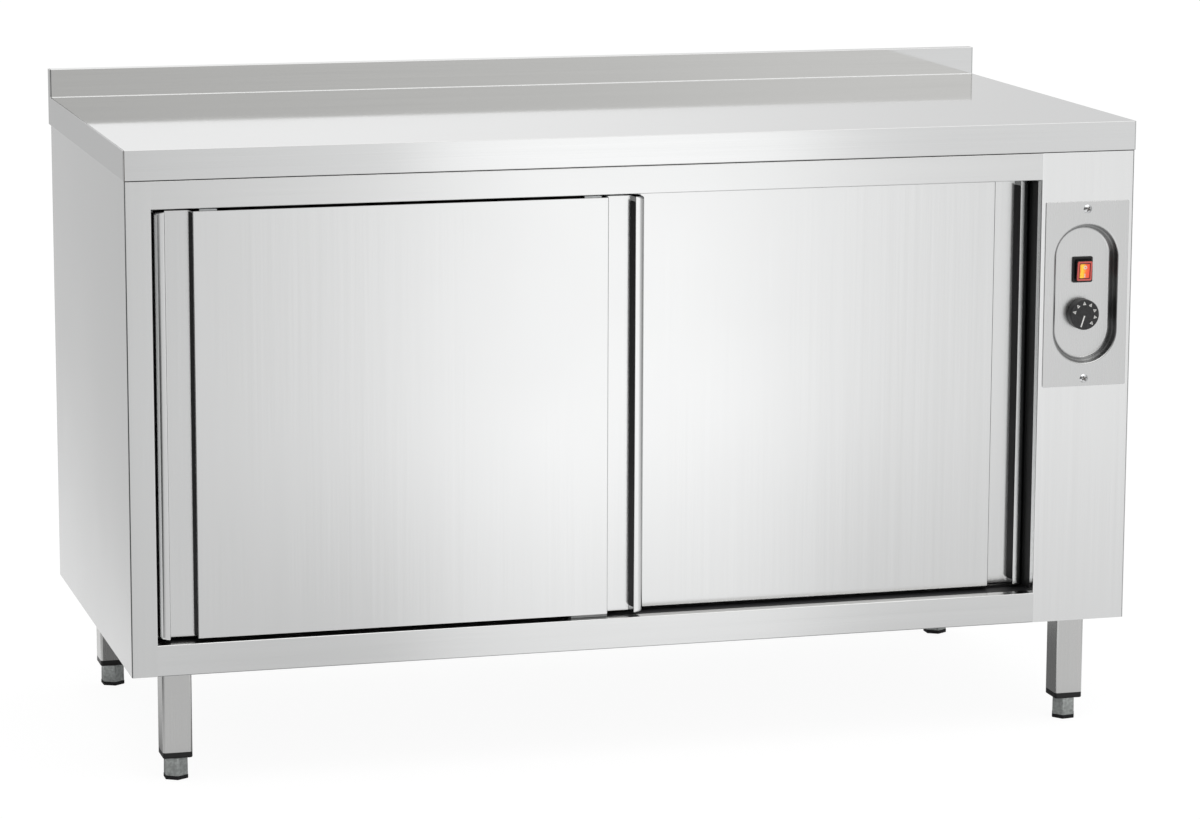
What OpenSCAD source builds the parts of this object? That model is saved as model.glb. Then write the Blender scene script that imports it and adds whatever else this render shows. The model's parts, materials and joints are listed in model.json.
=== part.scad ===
// Heated plate cabinet: a steel body on four legs under a worktop with a rear upstand,
// two hanging sliding doors, one shelf, and a control column with a fan heater behind it.
// The origin is on the floor at the centre of the outline. +X is right, +Y is the rear, +Z is up.

/* [Cabinet] */
// Width over the worktop
overall_w = 1400; // [1300:10:1600]
// Depth of the worktop, front edge to rear edge
overall_d = 660; // [640:5:720]
// Height of the worktop's surface above the floor
worktop_h = 850; // [830:5:900]
// Height of the body's underside above the floor
body_base_h = 152; // [145:1:170]
// Thickness of the body's steel sheet
sheet_t = 1.2; // [1:0.1:1.5]
// How far the worktop stands past each side of the body
side_overhang = 1; // [0.5:0.5:5]
// How far the worktop stands past the body's face
front_overhang = 1; // [0.5:0.5:2]
// How far the worktop stands past the body's rear
rear_overhang = 16; // [14:1:30]
// Thickness of the insulation behind, above and below the compartment
insulation_t = 28; // [20:1:35]

/* [Worktop] */
// Depth of the worktop's edge
worktop_t = 40; // [30:1:50]
// Height of the upstand above the worktop
upstand_h = 40; // [30:1:60]
// Thickness of the box-folded upstand
upstand_t = 18; // [12:1:25]

/* [Front] */
// Width of the left stile
stile_w = 35; // [30:1:45]
// Width of the control column
column_w = 135; // [132:1:150]
// Height of the rail over the doors
top_rail_h = 38; // [36:1:50]
// Height of the rail under the doors
bottom_rail_h = 42; // [40:1:60]
// Depth of the flat ledge in front of the guide trough
sill_ledge_d = 18; // [12:1:19]
// Depth of the guide trough below the ledge
trough_h = 13; // [11:1:15]

/* [Doors] */
// Thickness of a door
door_t = 24; // [22:1:28]
// Thickness of a door's skins
door_skin_t = 1; // [0.8:0.1:1.2]
// How far the front door's face lies behind the body's face
door_setback = 9; // [5:1:12]
// Space between the two doors
door_spacing = 6; // [4:1:10]
// Space behind the rear door
door_rear_gap = 5; // [4:1:10]
// How far the closed doors overlap
door_overlap = 103; // [60:1:140]
// Space between a closed door and the left jamb
door_gap_left = 4.5; // [1:0.5:6]
// Space between a closed door and the right jamb
door_gap_right = 1.5; // [1:0.5:6]
// Space over the doors
door_gap_top = 5; // [4:0.5:6]
// Space under the doors
door_gap_bottom = 4.6; // [4:0.1:8]
// Width of the rounded nose at each end of a door
nose_w = 14; // [13:0.5:18]
// Radius of the nose's front corners
nose_r = 6; // [3:0.5:6.5]
// Width of the grip channel beside the nose
grip_w = 37; // [30:1:45]
// Depth of the grip channel
grip_d = 16; // [12:1:18]
// How far each wall of the grip channel leans over its depth
grip_slope = 3.5; // [2:0.5:5]
// Radius of the fold at the edge of a door's main panel
fold_r = 2; // [1.5:0.5:3]
// Thickness of the black grip liners
liner_t = 1; // [0.8:0.1:1.5]
// Distance between a liner's end and the door's end
liner_end_gap = 7; // [4:1:12]

/* [Door running gear] */
// Distance of a hanger's centre from its end of the door
hanger_inset = 72; // [64:1:100]
// Width of a hanger
hanger_w = 23; // [18:1:30]
// Thickness of a hanger's plate
hanger_t = 2.5; // [2:0.5:2.5]
// Radius of a roller
roller_r = 11; // [9:0.5:11.5]
// Width of a roller's tread
roller_w = 6.5; // [5:0.5:6.5]
// Radius of a roller's pin
roller_pin_r = 2.5; // [2:0.5:3]
// Thickness of the track's walls
track_t = 1.5; // [1.2:0.1:2]
// Height of the track's ledge above the edge of the top rail
track_rise = 4; // [3:0.5:5]
// Height of the lip that keeps a roller on its ledge
track_lip_h = 2; // [1.5:0.5:3]
// Length of a guide shoe
shoe_l = 50; // [30:1:80]
// Thickness of a guide shoe's tongue
tongue_t = 3.6; // [3:0.2:5]
// Length of the tongue below the ledge
tongue_l = 6.5; // [5:0.5:7]

/* [Legs and feet] */
// Width of a leg's square tube
leg_w = 40; // [36:1:45]
// Wall of a leg's tube
leg_wall = 1.5; // [1.2:0.1:2]
// Corner radius of a leg's tube
leg_corner_r = 4; // [3:0.5:6]
// Distance of a leg's centre from the body's side
leg_inset_side = 65; // [60:1:80]
// Distance of a front leg's centre from the body's face
leg_inset_front = 52; // [45:1:70]
// Distance of a rear leg's centre from the body's rear
leg_inset_rear = 61; // [45:1:80]
// Thickness of the plate welded in a leg's top
leg_plate_t = 3; // [2:0.5:5]
// Height of the visible part of a leg's cap
cap_h = 6; // [4:0.5:8]
// Depth of the cap's plug inside the leg
plug_h = 25; // [20:1:30]
// Width of a foot's hexagon across its flats
foot_flats = 29.5; // [24:0.5:32]
// Height of a foot's hexagon
foot_hex_h = 25.2; // [20:0.1:30]
// Width of a foot's sole across its flats
sole_flats = 31; // [26:0.5:34]
// Thickness of a foot's sole
sole_t = 5.5; // [4:0.5:8]
// Radius of a foot's threaded stud
stud_r = 6; // [5:0.5:8]
// Length of a foot's stud inside the leg
stud_l = 44; // [40:1:60]
// Radius of a leg's bolt
bolt_r = 5; // [4:0.5:6]
// Width of the stiffening bar over the legs
bar_w = 50; // [44:1:60]
// Thickness of the stiffening bar
bar_t = 6; // [4:0.5:8]

/* [Controls] */
// Width of the control plate
plate_w = 122; // [115:1:126]
// Height of the control plate
plate_h = 257; // [240:1:280]
// Distance of the control plate's top below the body's top
plate_drop = 69; // [60:1:90]
// Thickness of the control plate
plate_t = 1.5; // [1:0.1:2]
// Width of the dish in the control plate
dish_w = 93; // [86:1:96]
// Height of the dish
dish_h = 194; // [180:1:200]
// Depth of the dish
dish_d = 16; // [14:0.5:18]
// How far the dish's wall leans over its depth
dish_slope = 6.5; // [4:0.5:9]
// Distance between the two plate screws
screw_spacing = 236; // [226:1:238]
// Radius of a plate screw's head
screw_head_r = 5; // [4:0.5:5.5]
// Height of a plate screw's head
screw_head_h = 3; // [2:0.5:3.5]
// Radius of a plate screw's shank
screw_r = 2.5; // [2:0.25:3]
// Height of the switch above the plate's centre
switch_rise = 32; // [28:1:50]
// Width of the switch's bezel
bezel_w = 31.5; // [28:0.5:36]
// Height of the switch's bezel
bezel_h = 37.5; // [34:0.5:42]
// Width of the rocker
rocker_w = 22.6; // [18:0.2:23]
// Height of the rocker
rocker_h = 27.5; // [24:0.5:28]
// How far the rocker stands out of its bezel
rocker_proud = 8.5; // [6:0.5:9]
// Tilt of the rocker, from its middle to each end
rocker_tilt = 6; // [4:1:7]
// Distance of the knob's axis below the plate's centre
knob_drop = 29.5; // [26:0.5:45]
// Radius of the knob
knob_r = 22; // [15:1:26]
// Thickness of the knob
knob_t = 14; // [10:0.5:15]
// Radius of the thermostat's spindle
spindle_r = 3; // [2.5:0.25:3.5]
// Edge length of the thermostat's square body
thermostat_w = 36; // [30:1:40]

/* [Shelf] */
// Height of the shelf's underside above the compartment's floor
shelf_rise = 284; // [220:5:330]
// Height of the shelf's folded edges
shelf_edge_h = 30; // [20:1:40]
// Space between the shelf and the compartment's sides
shelf_side_gap = 4; // [2:0.5:10]
// Width of the angles that carry the shelf
angle_w = 25; // [15:1:30]
// Thickness of these angles
angle_t = 2; // [1.5:0.5:3]

/* [Fan heater] */
// Width of the air box, away from the partition
air_box_w = 75; // [70:1:80]
// Depth of the air box, front to rear
air_box_d = 320; // [280:5:360]
// Height of the air box
air_box_h = 410; // [380:5:420]
// Distance of the air box behind the compartment's front
air_box_setback = 82; // [70:1:100]
// Height of the air box above the compartment's floor
air_box_rise = 36; // [20:1:50]
// Radius of the impeller
impeller_r = 72; // [60:1:90]
// Height of the impeller's axis above the air box's floor
impeller_rise = 130; // [115:1:140]
// Number of the impeller's blades
blade_count = 12; // [8:1:16]
// Length of the impeller's blades along its shaft
blade_l = 34; // [25:1:40]
// Radius of the motor
motor_r = 30; // [25:1:35]
// Length of the motor
motor_l = 44; // [35:1:50]
// Radius of the motor's shaft
shaft_r = 3; // [2.5:0.25:4]
// Radius of the heating rod
rod_r = 4; // [3:0.25:5]
// Distance between the heating rod's passes
rod_pitch = 40; // [30:1:44]
// Radius of the gland's bore
gland_r = 5.5; // [4:0.5:6]

/* [Clearances] */
// Radial clearance of a pin or shaft in its bore
fit_gap = 0.05; // [0.02:0.01:0.1]
// Gap between faces that rest on each other or roll
rest_gap = 0.3; // [0.2:0.05:0.4]
// Clearance of a cut-out or groove round what passes through it
cut_gap = 0.8; // [0.5:0.1:1.2]

/* [Hidden] */
$fn = 64;

// Outline and datum planes. A depth is measured to the rear from the body's face.
half_w = overall_w / 2;
body_half = half_w - side_overhang;
plate_proud = plate_t + screw_head_h - front_overhang;
y_front = -(overall_d - plate_proud) / 2;
y_face = y_front + front_overhang;
body_d = overall_d - front_overhang - rear_overhang;
z_top = worktop_h - worktop_t;

// Opening in the front and the zone where the doors run
x_left = -body_half + stile_w;
x_right = body_half - column_w;
z_sill = body_base_h + bottom_rail_h;
z_head = z_top - top_rail_h;
door_w = (x_right - x_left - door_gap_left - door_gap_right + door_overlap) / 2;
door_h = z_head - z_sill - door_gap_top - door_gap_bottom;
door_z = z_sill + door_gap_bottom;
door_top = door_z + door_h;
left_door_x = x_left + door_gap_left;
right_door_x = x_right - door_gap_right - door_w;
front_door_d = door_setback;
rear_door_d = front_door_d + door_t + door_spacing;
inner_d = rear_door_d + door_t + door_rear_gap;

// Compartment
z_ceiling = z_top - insulation_t - sheet_t;
rear_liner_d = body_d - 2 * sheet_t - insulation_t;
compartment_x = [x_left, x_right];

// Running gear: depths along a door are measured from its own face
hang_d = door_t / 2;
ledge_z = z_head + track_rise;
roller_z = ledge_z + track_t + rest_gap + roller_r;
tread_d = [hang_d - roller_w - track_t, hang_d - track_t];
track_side_gap = 3;
track_wall_d = tread_d[0] - track_side_gap - track_t;
lip_d = tread_d[1] + rest_gap;
web_gap = 1;
web_d = hang_d + web_gap;
hanger_foot_d = 18;
hanger_foot_t = 2;
hanger_head_h = 5;
pin_head_t = 1.2;
pin_head_r = roller_pin_r + 1.5;
rail_return_gap = 2;
trough_z = z_sill - trough_h;
guide_drop = 1;
shoe_inset = 3;
shoe_clearance = 0.5;

// Legs
cap_z = sole_t + foot_hex_h + rest_gap;
leg_z = cap_z + cap_h;
leg_x = body_half - leg_inset_side;
leg_depths = [leg_inset_front, body_d - leg_inset_rear];
leg_spots = [for (d = leg_depths) for (side = [-1, 1]) [side * leg_x, y_face + d]];
bolt_gap = 0.2;
bolt_head_h = 6.4;
bolt_flats = 17;
bolt_tip = 2;
bar_lead = 32;
foot_turns = [-15, 8, 20, -5];

// Controls: depths in the dish are measured from the plate's front
column_x = (x_right + body_half) / 2;
plate_z = z_top - plate_drop - plate_h / 2;
dish_front = y_face - plate_t;
dish_floor = dish_front + dish_d;
dish_back = dish_floor + plate_t;
dish_skin = plate_t * 1.08;
screw_tail = 8;
switch_z = plate_z + switch_rise;
knob_z = plate_z - knob_drop;
bezel_t = 2.5;
bezel_lip = 2.25;
switch_body_w = bezel_w - 2 * bezel_lip;
switch_body_h = bezel_h - 2 * bezel_lip;
switch_body_d = 24;
tab_w = 6;
tab_l = 8;
tab_t = 0.8;
tab_pitch = 8;
pocket_w = rocker_w + 2 * cut_gap;
pocket_h = rocker_h + 4 * cut_gap;
pocket_d = 6;
rocker_depth = 3;
axle_r = 1.5;
axle_l = switch_body_w - 0.4;
knob_gap = 0.8;
knob_bore_l = 9;
knob_front = dish_floor - knob_gap - knob_t;
spindle_front = dish_floor - knob_gap - knob_bore_l + rest_gap;
spindle_inside = 16;
thermostat_d = 28;
bulb_r = 3.2;
bulb_l = 90;
bulb_lead = 10;
bulb_seat = 1;
capillary_seat = 2;
capillary_r = 1.1;

// Shelf
z_shelf = z_sill + shelf_rise;
shelf_front_gap = 12;
shelf_rear_gap = 8;
angle_end_gap = 10;
shelf_d = [inner_d + shelf_front_gap, rear_liner_d - shelf_rear_gap];
angle_d = [shelf_d[0] + angle_end_gap, shelf_d[1] - angle_end_gap];

// Fan heater, in the space behind the control column
wall_x = x_right + sheet_t;
air_x = wall_x + air_box_w;
air_d = [inner_d + air_box_setback, inner_d + air_box_setback + air_box_d];
air_z = [z_sill + air_box_rise, z_sill + air_box_rise + air_box_h];
fan_y = y_face + (air_d[0] + air_d[1]) / 2;
fan_z = air_z[0] + impeller_rise;
hub_r = 14;
back_plate_t = 2;
back_gap = 8;
back_plate_x = air_x - sheet_t - back_gap;
blade_t = 1.5;
blade_inner_r = impeller_r * 0.45;
blade_tip_gap = 2;
blade_outer_r = impeller_r - blade_tip_gap;
motor_flange_w = 8;
motor_flange_t = 3;
motor_cap_t = 4;
shaft_end_gap = 2;
rod_x = wall_x + air_box_w / 2;
rod_rise = 48;
rod_z = fan_z + impeller_r + rod_rise;
rod_end_gap = 40;
rod_y = [y_face + air_d[0] + rod_end_gap, y_face + air_d[1] - rod_end_gap];
rod_passes = 4;
rod_tail = 16;
slot_w = 6;
slot_l = 80;
slot_pitch = 14;
slot_count = 7;
gland_x = column_x;
gland_rise = 46;
gland_z = z_sill + gland_rise;
gland_wall = 2.5;
gland_barrel_r = gland_r + gland_wall;
gland_nut_w = 4;
gland_nut_t = 6;
gland_nut_flats = 2 * (gland_barrel_r + gland_nut_w);
gland_out = 12;
gland_in = 13;
terminal_rise = 60;
terminal_z = gland_z + terminal_rise;
terminal_w = 60;
terminal_d = 18;
terminal_h = 25;
terminal_pitch = 20;
terminal_screw_r = 3.5;
terminal_screw_h = 2;
wire_r = 2.5;
loom_rise = 60;
loom_inset = 28;
wire_z = air_z[1] + loom_rise;
wire_x = body_half - loom_inset;

// A box between two x values, two depths behind the body's face, and two heights
module slab(x, d, z) {
    translate([x[0], y_face + d[0], z[0]])
        cube([x[1] - x[0], d[1] - d[0], z[1] - z[0]]);
}

// A square with round corners, centred on the origin
module round_square(w, r) {
    square([w, w - 2 * r], center = true);
    square([w - 2 * r, w], center = true);
    for (x = [-1, 1], y = [-1, 1])
        translate([x * (w / 2 - r), y * (w / 2 - r)]) circle(r);
}

// A straight round rod between two points, with a slightly larger round end at the second
module rod(p, q, r) {
    v = q - p;
    translate(p) rotate([0, acos(v[2] / norm(v)), atan2(v[1], v[0])])
        cylinder(h = norm(v), r = r);
    translate(q) sphere(r * 1.06);
}

// A wire or tube that follows a list of points
module run(points, r) {
    for (i = [0:len(points) - 2]) rod(points[i], points[i + 1], r);
}

// A cylinder that points to the rear from a point
module rearward(x, y, z, r, l) {
    translate([x, y, z]) rotate([-90, 0, 0]) cylinder(h = l, r = r);
}

// A cylinder that points to the right from a point
module rightward(x, y, z, r, l) {
    translate([x, y, z]) rotate([0, 90, 0]) cylinder(h = l, r = r);
}

// A hexagonal prism by its width across the flats
module hexagon(flats, h) {
    cylinder(h = h, d = flats / cos(30), $fn = 6);
}

// Worktop: a folded tray with a boxed upstand along its rear
module worktop() color("gainsboro") {
    tray_d = -front_overhang;
    tray_end = tray_d + overall_d;
    upstand_d = tray_end - upstand_t;
    upstand_z = worktop_h + upstand_h;
    slab([-half_w, half_w], [tray_d, upstand_d + sheet_t], [worktop_h - sheet_t, worktop_h]);
    slab([-half_w, half_w], [tray_d, tray_d + sheet_t], [z_top, worktop_h]);
    slab([-half_w, half_w], [tray_end - sheet_t, tray_end], [z_top, upstand_z]);
    slab([-half_w, half_w], [upstand_d, upstand_d + sheet_t], [worktop_h - sheet_t, upstand_z]);
    slab([-half_w, half_w], [upstand_d, tray_end], [upstand_z - sheet_t, upstand_z]);
    for (x = [-half_w, half_w - sheet_t]) {
        slab([x, x + sheet_t], [tray_d, tray_end], [z_top, worktop_h]);
        slab([x, x + sheet_t], [upstand_d, tray_end], [z_top, upstand_z]);
    }
}

module worktop_core() color("burlywood") {
    slab([-half_w + sheet_t, half_w - sheet_t],
        [sheet_t - front_overhang, overall_d - front_overhang - sheet_t],
        [z_top, worktop_h - sheet_t]);
}

// Left side with the stile folded round the corner and the jamb folded inwards
module left_side_panel() color("silver") {
    slab([-body_half, -body_half + sheet_t], [0, body_d], [body_base_h, z_top]);
    slab([-body_half, x_left], [0, sheet_t], [body_base_h, z_top]);
    slab([x_left - sheet_t, x_left], [0, inner_d], [body_base_h + sheet_t, z_top]);
}

module right_side_panel() color("silver") {
    slab([body_half - sheet_t, body_half], [0, body_d], [body_base_h, z_top]);
}

module rear_panel() color("silver") difference() {
    slab([-body_half + sheet_t, body_half - sheet_t], [body_d - sheet_t, body_d],
        [body_base_h, z_top]);
    rearward(gland_x, y_face + body_d - 2 * sheet_t, gland_z, gland_barrel_r + bolt_gap,
        3 * sheet_t);
}

// Base with its two welded bars, drilled for the leg bolts
module base_panel() color("darkgray") difference() {
    union() {
        slab([-body_half + sheet_t, body_half - sheet_t], [sheet_t, body_d - sheet_t],
            [body_base_h, body_base_h + sheet_t]);
        for (side = [-1, 1])
            slab([side * leg_x - bar_w / 2, side * leg_x + bar_w / 2],
                [leg_depths[0] - bar_lead, rear_liner_d - rest_gap],
                [body_base_h + sheet_t, body_base_h + sheet_t + bar_t]);
    }
    for (spot = leg_spots)
        translate([spot[0], spot[1], body_base_h - 1])
            cylinder(h = bar_t + sheet_t + 2, r = bolt_r + bolt_gap);
}

module top_rail() color("gainsboro") {
    slab(compartment_x, [0, sheet_t], [z_head, z_top]);
    slab(compartment_x, [0, door_setback - rail_return_gap], [z_head, z_head + sheet_t]);
    slab(compartment_x, [0, inner_d], [z_top - sheet_t, z_top]);
}

// Rail under the doors, folded to a ledge and to the trough that holds the guide
module bottom_rail() color("gainsboro") {
    slab(compartment_x, [0, sheet_t], [body_base_h, z_sill]);
    slab(compartment_x, [0, sill_ledge_d], [z_sill - sheet_t, z_sill]);
    slab(compartment_x, [sill_ledge_d - sheet_t, sill_ledge_d], [trough_z, z_sill]);
    slab(compartment_x, [sill_ledge_d - sheet_t, inner_d], [trough_z, trough_z + sheet_t]);
    slab(compartment_x, [inner_d - sheet_t, inner_d], [trough_z, z_sill]);
}

// Solid of the dish's shape, grown by a given amount, cut off at a given depth
module dish_shape(grow, depth) {
    front_r = dish_w / 2 + grow;
    back_r = front_r - dish_slope * depth / dish_d;
    straight = dish_h - dish_w;
    for (side = [-1, 1])
        translate([0, 0, side * straight / 2]) rotate([-90, 0, 0])
            cylinder(h = depth, r1 = front_r, r2 = back_r);
    translate([0, 0, -straight / 2]) linear_extrude(straight)
        polygon([[-front_r, 0], [front_r, 0], [back_r, depth], [-back_r, depth]]);
}

// Straight stadium hole that lets the dish through the column's face
module dish_cut_out() {
    cut_r = dish_w / 2 + dish_skin + cut_gap;
    straight = dish_h - dish_w;
    for (side = [-1, 1])
        rearward(column_x, y_face - 1, plate_z + side * straight / 2, cut_r, sheet_t + 2);
    slab([column_x - cut_r, column_x + cut_r], [-1, sheet_t + 1],
        [plate_z - straight / 2, plate_z + straight / 2]);
}

module control_fascia() color("gainsboro") difference() {
    union() {
        slab([x_right, body_half - sheet_t], [0, sheet_t], [body_base_h, z_top]);
        slab([x_right, x_right + sheet_t], [0, inner_d], [body_base_h + sheet_t, z_top]);
    }
    dish_cut_out();
    for (side = [-1, 1])
        rearward(column_x, y_face - 1, plate_z + side * screw_spacing / 2, screw_r + bolt_gap,
            sheet_t + 2);
}

// Partition between the compartment and the heater, with its inlet and outlet slots
module partition_wall() color("silver") difference() {
    slab([x_right, x_right + sheet_t], [inner_d, body_d - sheet_t],
        [body_base_h + sheet_t, z_top]);
    for (i = [0:slot_count - 1]) {
        inlet_z = fan_z + (i - (slot_count - 1) / 2) * slot_pitch;
        outlet_z = rod_z + i * slot_pitch;
        for (z = [inlet_z, outlet_z])
            slab([x_right - 1, x_right + sheet_t + 1],
                [fan_y - y_face - slot_l / 2, fan_y - y_face + slot_l / 2],
                [z - slot_w / 2, z + slot_w / 2]);
    }
}

module left_liner() color("silver") {
    slab([x_left - sheet_t, x_left], [inner_d, rear_liner_d + sheet_t],
        [z_sill - sheet_t, z_ceiling + sheet_t]);
}

module rear_liner() color("silver") {
    slab(compartment_x, [rear_liner_d, rear_liner_d + sheet_t], [z_sill, z_ceiling]);
}

module ceiling_liner() color("silver") {
    slab(compartment_x, [inner_d, rear_liner_d + sheet_t], [z_ceiling, z_ceiling + sheet_t]);
    slab(compartment_x, [inner_d, inner_d + sheet_t], [z_ceiling, z_top]);
}

module floor_deck() color("silver") {
    slab(compartment_x, [inner_d, rear_liner_d + sheet_t], [z_sill - sheet_t, z_sill]);
}

// Slabs of mineral wool at the left, rear, top and bottom of the compartment
module insulation() color("khaki") {
    rear_d = rear_liner_d + sheet_t;
    base_z = body_base_h + sheet_t;
    slab([-body_half + sheet_t, x_left - sheet_t - rest_gap], [sheet_t, body_d - sheet_t],
        [base_z, z_top]);
    slab(compartment_x, [rear_d, body_d - sheet_t], [base_z, z_top]);
    slab(compartment_x, [inner_d + sheet_t, rear_d - rest_gap], [z_ceiling + sheet_t, z_top]);
    difference() {
        slab(compartment_x, [inner_d, rear_d - rest_gap], [base_z, z_sill - sheet_t]);
        slab([-leg_x - bar_w / 2 - cut_gap, -leg_x + bar_w / 2 + cut_gap],
            [0, body_d], [body_base_h, base_z + bar_t + cut_gap]);
        translate([-leg_x, y_face + leg_depths[1], body_base_h])
            cylinder(h = sheet_t + bar_t + bolt_head_h + 2 * cut_gap, r = bolt_flats);
    }
}

// Double track over the doors: for each door a wall, a ledge and a lip under one top plate
module door_track() color("lightslategray") {
    slab(compartment_x, [front_door_d + track_wall_d, rear_door_d + hang_d],
        [z_top - sheet_t - track_t, z_top - sheet_t]);
    for (d = [front_door_d, rear_door_d]) {
        slab(compartment_x, [d + track_wall_d, d + track_wall_d + track_t],
            [ledge_z, z_top - sheet_t]);
        slab(compartment_x, [d + track_wall_d, d + hang_d], [ledge_z, ledge_z + track_t]);
        slab(compartment_x, [d + lip_d, d + hang_d],
            [ledge_z, ledge_z + track_t + track_lip_h]);
    }
}

// Plastic guide in the trough, with one groove for each door
module door_guide() color("dimgray") difference() {
    slab(compartment_x, [sill_ledge_d, inner_d - sheet_t], [trough_z + sheet_t, z_sill - guide_drop]);
    for (d = [front_door_d + hang_d, rear_door_d + hang_d])
        slab([x_left - 1, x_right + 1],
            [d - tongue_t / 2 - cut_gap, d + tongue_t / 2 + cut_gap],
            [z_sill - tongue_l - cut_gap, z_sill]);
}

module shelf_brackets() color("silver") {
    for (side = [-1, 1]) {
        edge = side < 0 ? x_left : x_right;
        upright = side < 0 ? [edge, edge + angle_t] : [edge - angle_t, edge];
        ledge = side < 0 ? [edge, edge + angle_w] : [edge - angle_w, edge];
        slab(upright, angle_d, [z_shelf - rest_gap - angle_w, z_shelf - rest_gap]);
        slab(ledge, angle_d, [z_shelf - rest_gap - angle_t, z_shelf - rest_gap]);
    }
}

module shelf() color("gainsboro") {
    x = [x_left + shelf_side_gap, x_right - shelf_side_gap];
    slab(x, shelf_d, [z_shelf, z_shelf + sheet_t]);
    for (d = [shelf_d[0], shelf_d[1] - sheet_t])
        slab(x, [d, d + sheet_t], [z_shelf - shelf_edge_h, z_shelf + sheet_t]);
}

// Square tube with a welded top plate
module leg() difference() {
    linear_extrude(body_base_h - leg_z) round_square(leg_w, leg_corner_r);
    translate([0, 0, -1]) linear_extrude(body_base_h - leg_z - leg_plate_t + 1)
        round_square(leg_w - 2 * leg_wall, leg_corner_r - leg_wall);
    cylinder(h = body_base_h, r = bolt_r + bolt_gap);
}

module legs() color("darkgray")
    for (spot = leg_spots) translate([spot[0], spot[1], leg_z]) leg();

// Plastic plug with the bore that takes a foot's stud
module leg_caps() color("black")
    for (spot = leg_spots) translate([spot[0], spot[1], cap_z]) difference() {
        union() {
            linear_extrude(cap_h) round_square(leg_w, leg_corner_r);
            linear_extrude(cap_h + plug_h)
                round_square(leg_w - 2 * leg_wall - 2 * bolt_gap, leg_corner_r - leg_wall);
        }
        translate([0, 0, -1]) cylinder(h = cap_h + plug_h + 2, r = stud_r + fit_gap);
    }

// Bolts that hold the legs, each with its nut under the leg's top plate
module leg_bolts() color("gray")
    for (spot = leg_spots) translate([spot[0], spot[1], body_base_h]) {
        translate([0, 0, sheet_t + bar_t]) hexagon(bolt_flats, bolt_head_h);
        translate([0, 0, -leg_plate_t - bolt_head_h - bolt_tip])
            cylinder(h = bolt_tip + 2 * bolt_head_h + leg_plate_t + sheet_t + bar_t, r = bolt_r);
        translate([0, 0, -leg_plate_t - bolt_head_h]) hexagon(bolt_flats, bolt_head_h);
    }

// Hexagonal foot and its stud, at one of the four legs
module foot(i) color("lightsteelblue") translate([leg_spots[i][0], leg_spots[i][1], sole_t]) {
    rotate([0, 0, foot_turns[i] + 30]) hexagon(foot_flats, foot_hex_h);
    cylinder(h = foot_hex_h + stud_l, r = stud_r);
}

module sole(i) color("black") translate([leg_spots[i][0], leg_spots[i][1], 0])
    rotate([0, 0, foot_turns[i] + 30]) hexagon(sole_flats, sole_t);

// Plate with its pressed dish, drilled for the screws, the switch and the spindle
module control_plate() color("lightgray") difference() {
    union() {
        slab([column_x - plate_w / 2, column_x + plate_w / 2], [-plate_t, 0],
            [plate_z - plate_h / 2, plate_z + plate_h / 2]);
        translate([column_x, dish_front, plate_z]) dish_shape(dish_skin, dish_d + plate_t);
    }
    translate([column_x, dish_front - 0.01, plate_z]) dish_shape(0, dish_d + 0.01);
    slab([column_x - switch_body_w / 2 - bolt_gap, column_x + switch_body_w / 2 + bolt_gap],
        [0, 2 * dish_d],
        [switch_z - switch_body_h / 2 - bolt_gap, switch_z + switch_body_h / 2 + bolt_gap]);
    rearward(column_x, dish_front, knob_z, spindle_r + cut_gap, 2 * dish_d);
    for (side = [-1, 1])
        rearward(column_x, dish_front - 1, plate_z + side * screw_spacing / 2,
            screw_r + bolt_gap, plate_t + 2);
}

// Domed screws at the top and bottom of the control plate
module plate_screws() color("lightsteelblue") {
    dome_r = (screw_head_r * screw_head_r + screw_head_h * screw_head_h) / (2 * screw_head_h);
    for (side = [-1, 1]) translate([column_x, dish_front, plate_z + side * screw_spacing / 2]) {
        intersection() {
            translate([0, dome_r - screw_head_h, 0]) sphere(dome_r);
            rotate([90, 0, 0]) cylinder(h = screw_head_h + 1, r = screw_head_r);
        }
        rotate([-90, 0, 0]) cylinder(h = plate_t + sheet_t + screw_tail, r = screw_r);
    }
}

// Switch body with its bezel, the rocker's pocket and three rear tabs
module switch_housing() color("black") {
    bezel_y = dish_floor - y_face;
    difference() {
        union() {
            slab([column_x - bezel_w / 2, column_x + bezel_w / 2], [bezel_y - bezel_t, bezel_y],
                [switch_z - bezel_h / 2, switch_z + bezel_h / 2]);
            slab([column_x - switch_body_w / 2, column_x + switch_body_w / 2],
                [bezel_y - bezel_t, bezel_y + switch_body_d],
                [switch_z - switch_body_h / 2, switch_z + switch_body_h / 2]);
        }
        slab([column_x - pocket_w / 2, column_x + pocket_w / 2],
            [bezel_y - bezel_t - 1, bezel_y - bezel_t + pocket_d],
            [switch_z - pocket_h / 2, switch_z + pocket_h / 2]);
        rightward(column_x - switch_body_w, dish_floor - bezel_t + rocker_depth, switch_z,
            axle_r + fit_gap, 2 * switch_body_w);
    }
    for (i = [-1, 0, 1])
        slab([column_x - tab_w / 2, column_x + tab_w / 2],
            [bezel_y + switch_body_d, bezel_y + switch_body_d + tab_l],
            [switch_z + i * tab_pitch - tab_t / 2, switch_z + i * tab_pitch + tab_t / 2]);
}

// Rocker, resting with its lower end pressed in
module switch_rocker() color("red")
    translate([column_x, dish_floor - bezel_t + rocker_depth, switch_z]) {
        rotate([rocker_tilt, 0, 0])
            translate([-rocker_w / 2, -rocker_proud - rocker_depth, -rocker_h / 2])
                cube([rocker_w, rocker_proud + rocker_depth + axle_r, rocker_h]);
        translate([-axle_l / 2, 0, 0]) rotate([0, 90, 0]) cylinder(h = axle_l, r = axle_r);
    }

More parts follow.
